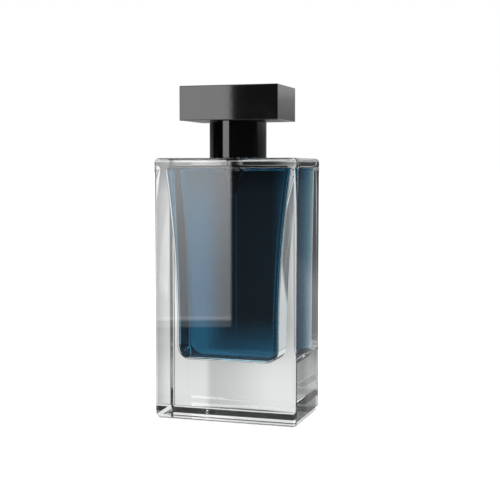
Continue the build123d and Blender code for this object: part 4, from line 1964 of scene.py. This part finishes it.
@dataclass
class Studio:
    """Pale floor, soft lights, the surroundings that the glass reflects, and the camera.

    A heading is 0 at the back and grows to the left, in degrees; a rise is the sine of the
    height above the horizon. The table is a list of (rise, brightness).
    """

    camera_place: Triple = (150.4 * MM, -450.3 * MM, 106.3 * MM)
    camera_turn: float = math.radians(17.85)
    camera_drop: float = math.radians(-4.13)
    lens: float = 78.9
    sensor_width: float = 36.0
    key_place: Triple = (-0.75, -1.3, 0.45)
    key_target: Triple = (0.0, 0.0, 0.12)
    key_size: Pair = (0.62, 1.0)
    key_radiance: float = 2.0
    clear_bounces: int = 24
    glossy_bounces: int = 8
    floor_radius: float = 60.0
    floor_drop: float = 0.02 * MM
    soft_light: float = 1.25

    table: tuple[Pair, ...] = (
        (-0.25, 0.86), (-0.19, 0.80), (-0.153, 0.68), (-0.118, 0.64), (-0.055, 0.58),
        (-0.02, 0.50), (-0.008, 0.34), (0.0, 0.25), (0.03, 0.18), (0.06, 0.05), (0.25, 0.02),
    )
    left_card: Card = Card((78.0, 128.0), 4.0, 0.95, (-0.06, -0.03))
    back_card: Card = Card((0.5, 13.5), 1.5, 0.8, (-0.6, -0.5))
    right_card: Card = Card((-110.0, -35.0), 3.0, 0.75)
    back_glow: float = 0.85
    high_card: float = 0.6
    sill: float = 0.12
    softbox_heading: Pair = (135.0, 161.15)
    softbox_rise: Pair = (-0.1416, 0.6)
    softbox_low: float = 1.5
    softbox_high: float = 3.0

    def floor(self) -> None:
        """A wide disc: radius times (cos a, sin a), just under the base."""
        walk = np.array([[self.floor_radius, -self.floor_drop, -1, 0], [0, -self.floor_drop, -1, 0]])
        piece = Skin().loft(Columns.round(64), Rows.turned(walk)).build("floor")
        StudioPaper().dress(piece)
        piece.visible_glossy = piece.visible_transmission = False

    def softbox(self, name: str, place: Triple, target: Triple, size: Pair,
                radiance: float) -> bpy.types.Object:
        """A rectangular light.

        Args:
            name: The light's name.
            place: The middle of its face.
            target: The point that it faces.
            size: Width and height of its face.
            radiance: Brightness of its face; power is pi * area * radiance.

        Returns:
            The light object.
        """
        data = bpy.data.lights.new(name, "AREA")
        data.shape = "RECTANGLE"
        data.size, data.size_y = size
        data.energy = math.pi * size[0] * size[1] * radiance
        light = bpy.data.objects.new(name, data)
        aim = np.array(target) - np.array(place)
        light.location = place
        tilt = math.acos(-aim[2] / np.linalg.norm(aim))
        light.rotation_euler = (tilt, 0, math.atan2(aim[1], aim[0]) - math.pi / 2)
        light.visible_glossy = light.visible_transmission = False
        bpy.context.scene.collection.objects.link(light)
        return light

    def table_light(self, bench: Bench, heading: Wire, rise: Wire) -> Wire:
        """The pale table all round, which gets dimmer towards a dark horizon.

        Args:
            bench: The world's nodes.
            heading: The heading of each direction.
            rise: The rise of each direction.

        Returns:
            Its brightness.
        """
        first, last = self.table[0][0], self.table[-1][0]
        stops = [((height - first) / (last - first), grey(value)) for height, value in self.table]
        values = {"Fac": (rise - first) / (last - first)}
        table = bench.wire("ShaderNodeValToRGB", {"stops": stops}, values)

        right_half = heading.within(-17.5, 17.5, 1.0) * rise.ramp(-0.15, -0.09, 0.05, 0.33)
        left_band = heading.within(19.7, 35.0, 0.6) * rise.within(-0.15, -0.02, 0.03) * 0.42
        behind = heading.within(-105.0, 115.0, 10.0)
        in_front = rise.ramp(-0.178, -0.16, 0.55, 0.15)
        under = rise.ramp(-0.95, -0.8, 0.6, 1.0)
        return table * (right_half + left_band + 1) * (behind * (1 - in_front) + in_front) * under

    def dark_cards(self, heading: Wire, rise: Wire) -> Wire:
        """The share of the table's light that the dark cards take away.

        Two cards aren't plain. The one at the back left is a dark panel whose left border fades,
        over a fainter one that gets darker to the left. The narrow post at the back right is
        darker above and at its right side.

        Args:
            heading: The heading of each direction.
            rise: The rise of each direction.

        Returns:
            The share, from 0 to 1.
        """
        upper = rise.ramp(-0.18, -0.13)
        panel = upper * heading.ramp(20.5, 18.8, 0.0, 0.92)
        faint = (1 - upper) * heading.ramp(16.4, 20.0, 0.0, 0.3) * heading.ramp(20.25, 19.85)
        left = (panel + faint) * heading.ramp(15.2, 16.8)
        post = rise.ramp(-0.12, -0.07, 0.35, 0.8).larger(heading.ramp(-15.1, -14.7, 0.72, 0.4))
        post = heading.within(-15.42, -14.1, 0.08) * post
        beside = heading.within(-35.0, -19.0, 1.0) * heading.ramp(-22.8, -22.1, 0.34, 0.0)
        dark = left.larger(self.left_card.cover(heading, rise)).larger(post).larger(beside)
        return dark.larger(self.back_card.cover(heading, rise)).larger(self.right_card.cover(heading, rise))

    def pale_cards(self, heading: Wire, rise: Wire) -> Wire:
        """The bright back wall, a paler card high at the back right, and a sill below it.

        Args:
            heading: The heading of each direction.
            rise: The rise of each direction.

        Returns:
            Their brightness.
        """
        glow = heading.within(-75.0, 75.0, 5.0) * rise.within(0.062, 0.4, 0.014) * self.back_glow
        card = heading.within(-80.0, -8.0, 2.0) * rise.within(0.049, 0.6, 0.028) * self.high_card
        sill = heading.within(-74.0, -30.0, 2.0) * rise.within(-0.01, 0.06, 0.01) * self.sill
        return card.larger(glow) + sill

    def softbox_face(self, heading: Wire, rise: Wire) -> Wire:
        """The softbox in front on the left; it gets dimmer downwards, to a dim hem with a bright rim.

        Args:
            heading: The heading of each direction.
            rise: The rise of each direction.

        Returns:
            Its brightness.
        """
        face = heading.within(*self.softbox_heading, 0.1) * rise.within(*self.softbox_rise, 0.0012)
        rim = rise.within(-0.1348, -0.132, 0.001) * 0.36 + 1
        hem = rise.ramp(-0.137, -0.1346, 0.37, 1.0) * rim
        return face * rise.ramp(-0.13, 0.05, self.softbox_low, self.softbox_high) * hem

    def room(self, bench: Bench) -> Wire:
        """The brightness that glass and gloss see in each direction.

        It is a pale table with dark cards round it, pale cards above the horizon, and a softbox.

        Args:
            bench: The world's nodes.

        Returns:
            The brightness.
        """
        across, deep, rise = bench.axes("Generated")
        turn = bench.wire("ShaderNodeMath", {"operation": "ARCTAN2"}, {0: 0 - across, 1: deep})
        heading = turn * math.degrees(1)
        table = self.table_light(bench, heading, rise) * (1 - self.dark_cards(heading, rise))
        return table + self.pale_cards(heading, rise) + self.softbox_face(heading, rise)

    def surroundings(self) -> None:
        """White to the eye and for soft light; glass and gloss see the room."""
        world = bpy.data.worlds.new("studio")
        bpy.context.scene.world = world
        world.use_nodes = True
        bench = Bench(world.node_tree)
        rays = bench.node("ShaderNodeLightPath")
        eye = Wire(bench, rays.outputs["Is Camera Ray"])
        soft = Wire(bench, rays.outputs["Is Diffuse Ray"])
        strength = self.room(bench) * (1 - eye.larger(soft)) + eye + soft * self.soft_light
        background = bench.node("ShaderNodeBackground", None, {"Color": grey(1.0), "Strength": strength})
        bench.node("ShaderNodeOutputWorld", None, {"Surface": background.outputs[0]})

    def camera(self) -> None:
        """The camera, a little above the shoulder and to the bottle's right."""
        data = bpy.data.cameras.new("camera")
        data.lens, data.sensor_width = self.lens, self.sensor_width
        camera = bpy.data.objects.new("camera", data)
        camera.location = self.camera_place
        camera.rotation_euler = (math.pi / 2 + self.camera_drop, 0, self.camera_turn)
        bpy.context.scene.collection.objects.link(camera)
        bpy.context.scene.camera = camera

    def build(self) -> None:
        """Set the whole studio up."""
        scene = bpy.context.scene
        scene.view_settings.view_transform = "Standard"
        scene.cycles.max_bounces = self.clear_bounces
        scene.cycles.transmission_bounces = self.clear_bounces
        scene.cycles.glossy_bounces = self.glossy_bounces
        self.camera()
        self.floor()
        self.surroundings()
        self.softbox("key_softbox", self.key_place, self.key_target, self.key_size, self.key_radiance)


def main() -> None:
    """Build the sub-assemblies in order and report each piece."""
    logging.basicConfig(level=logging.INFO, format="%(name)s: %(message)s")
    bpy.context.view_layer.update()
    Studio().build()
    for assembly in (GlassBlock(), CrimpPump(), SprayHead(), Collar(), Cap()):
        made = list(assembly.pieces())
        log.info("%s has %d pieces", type(assembly).__name__, len(made))


if __name__ == "__main__":
    main()
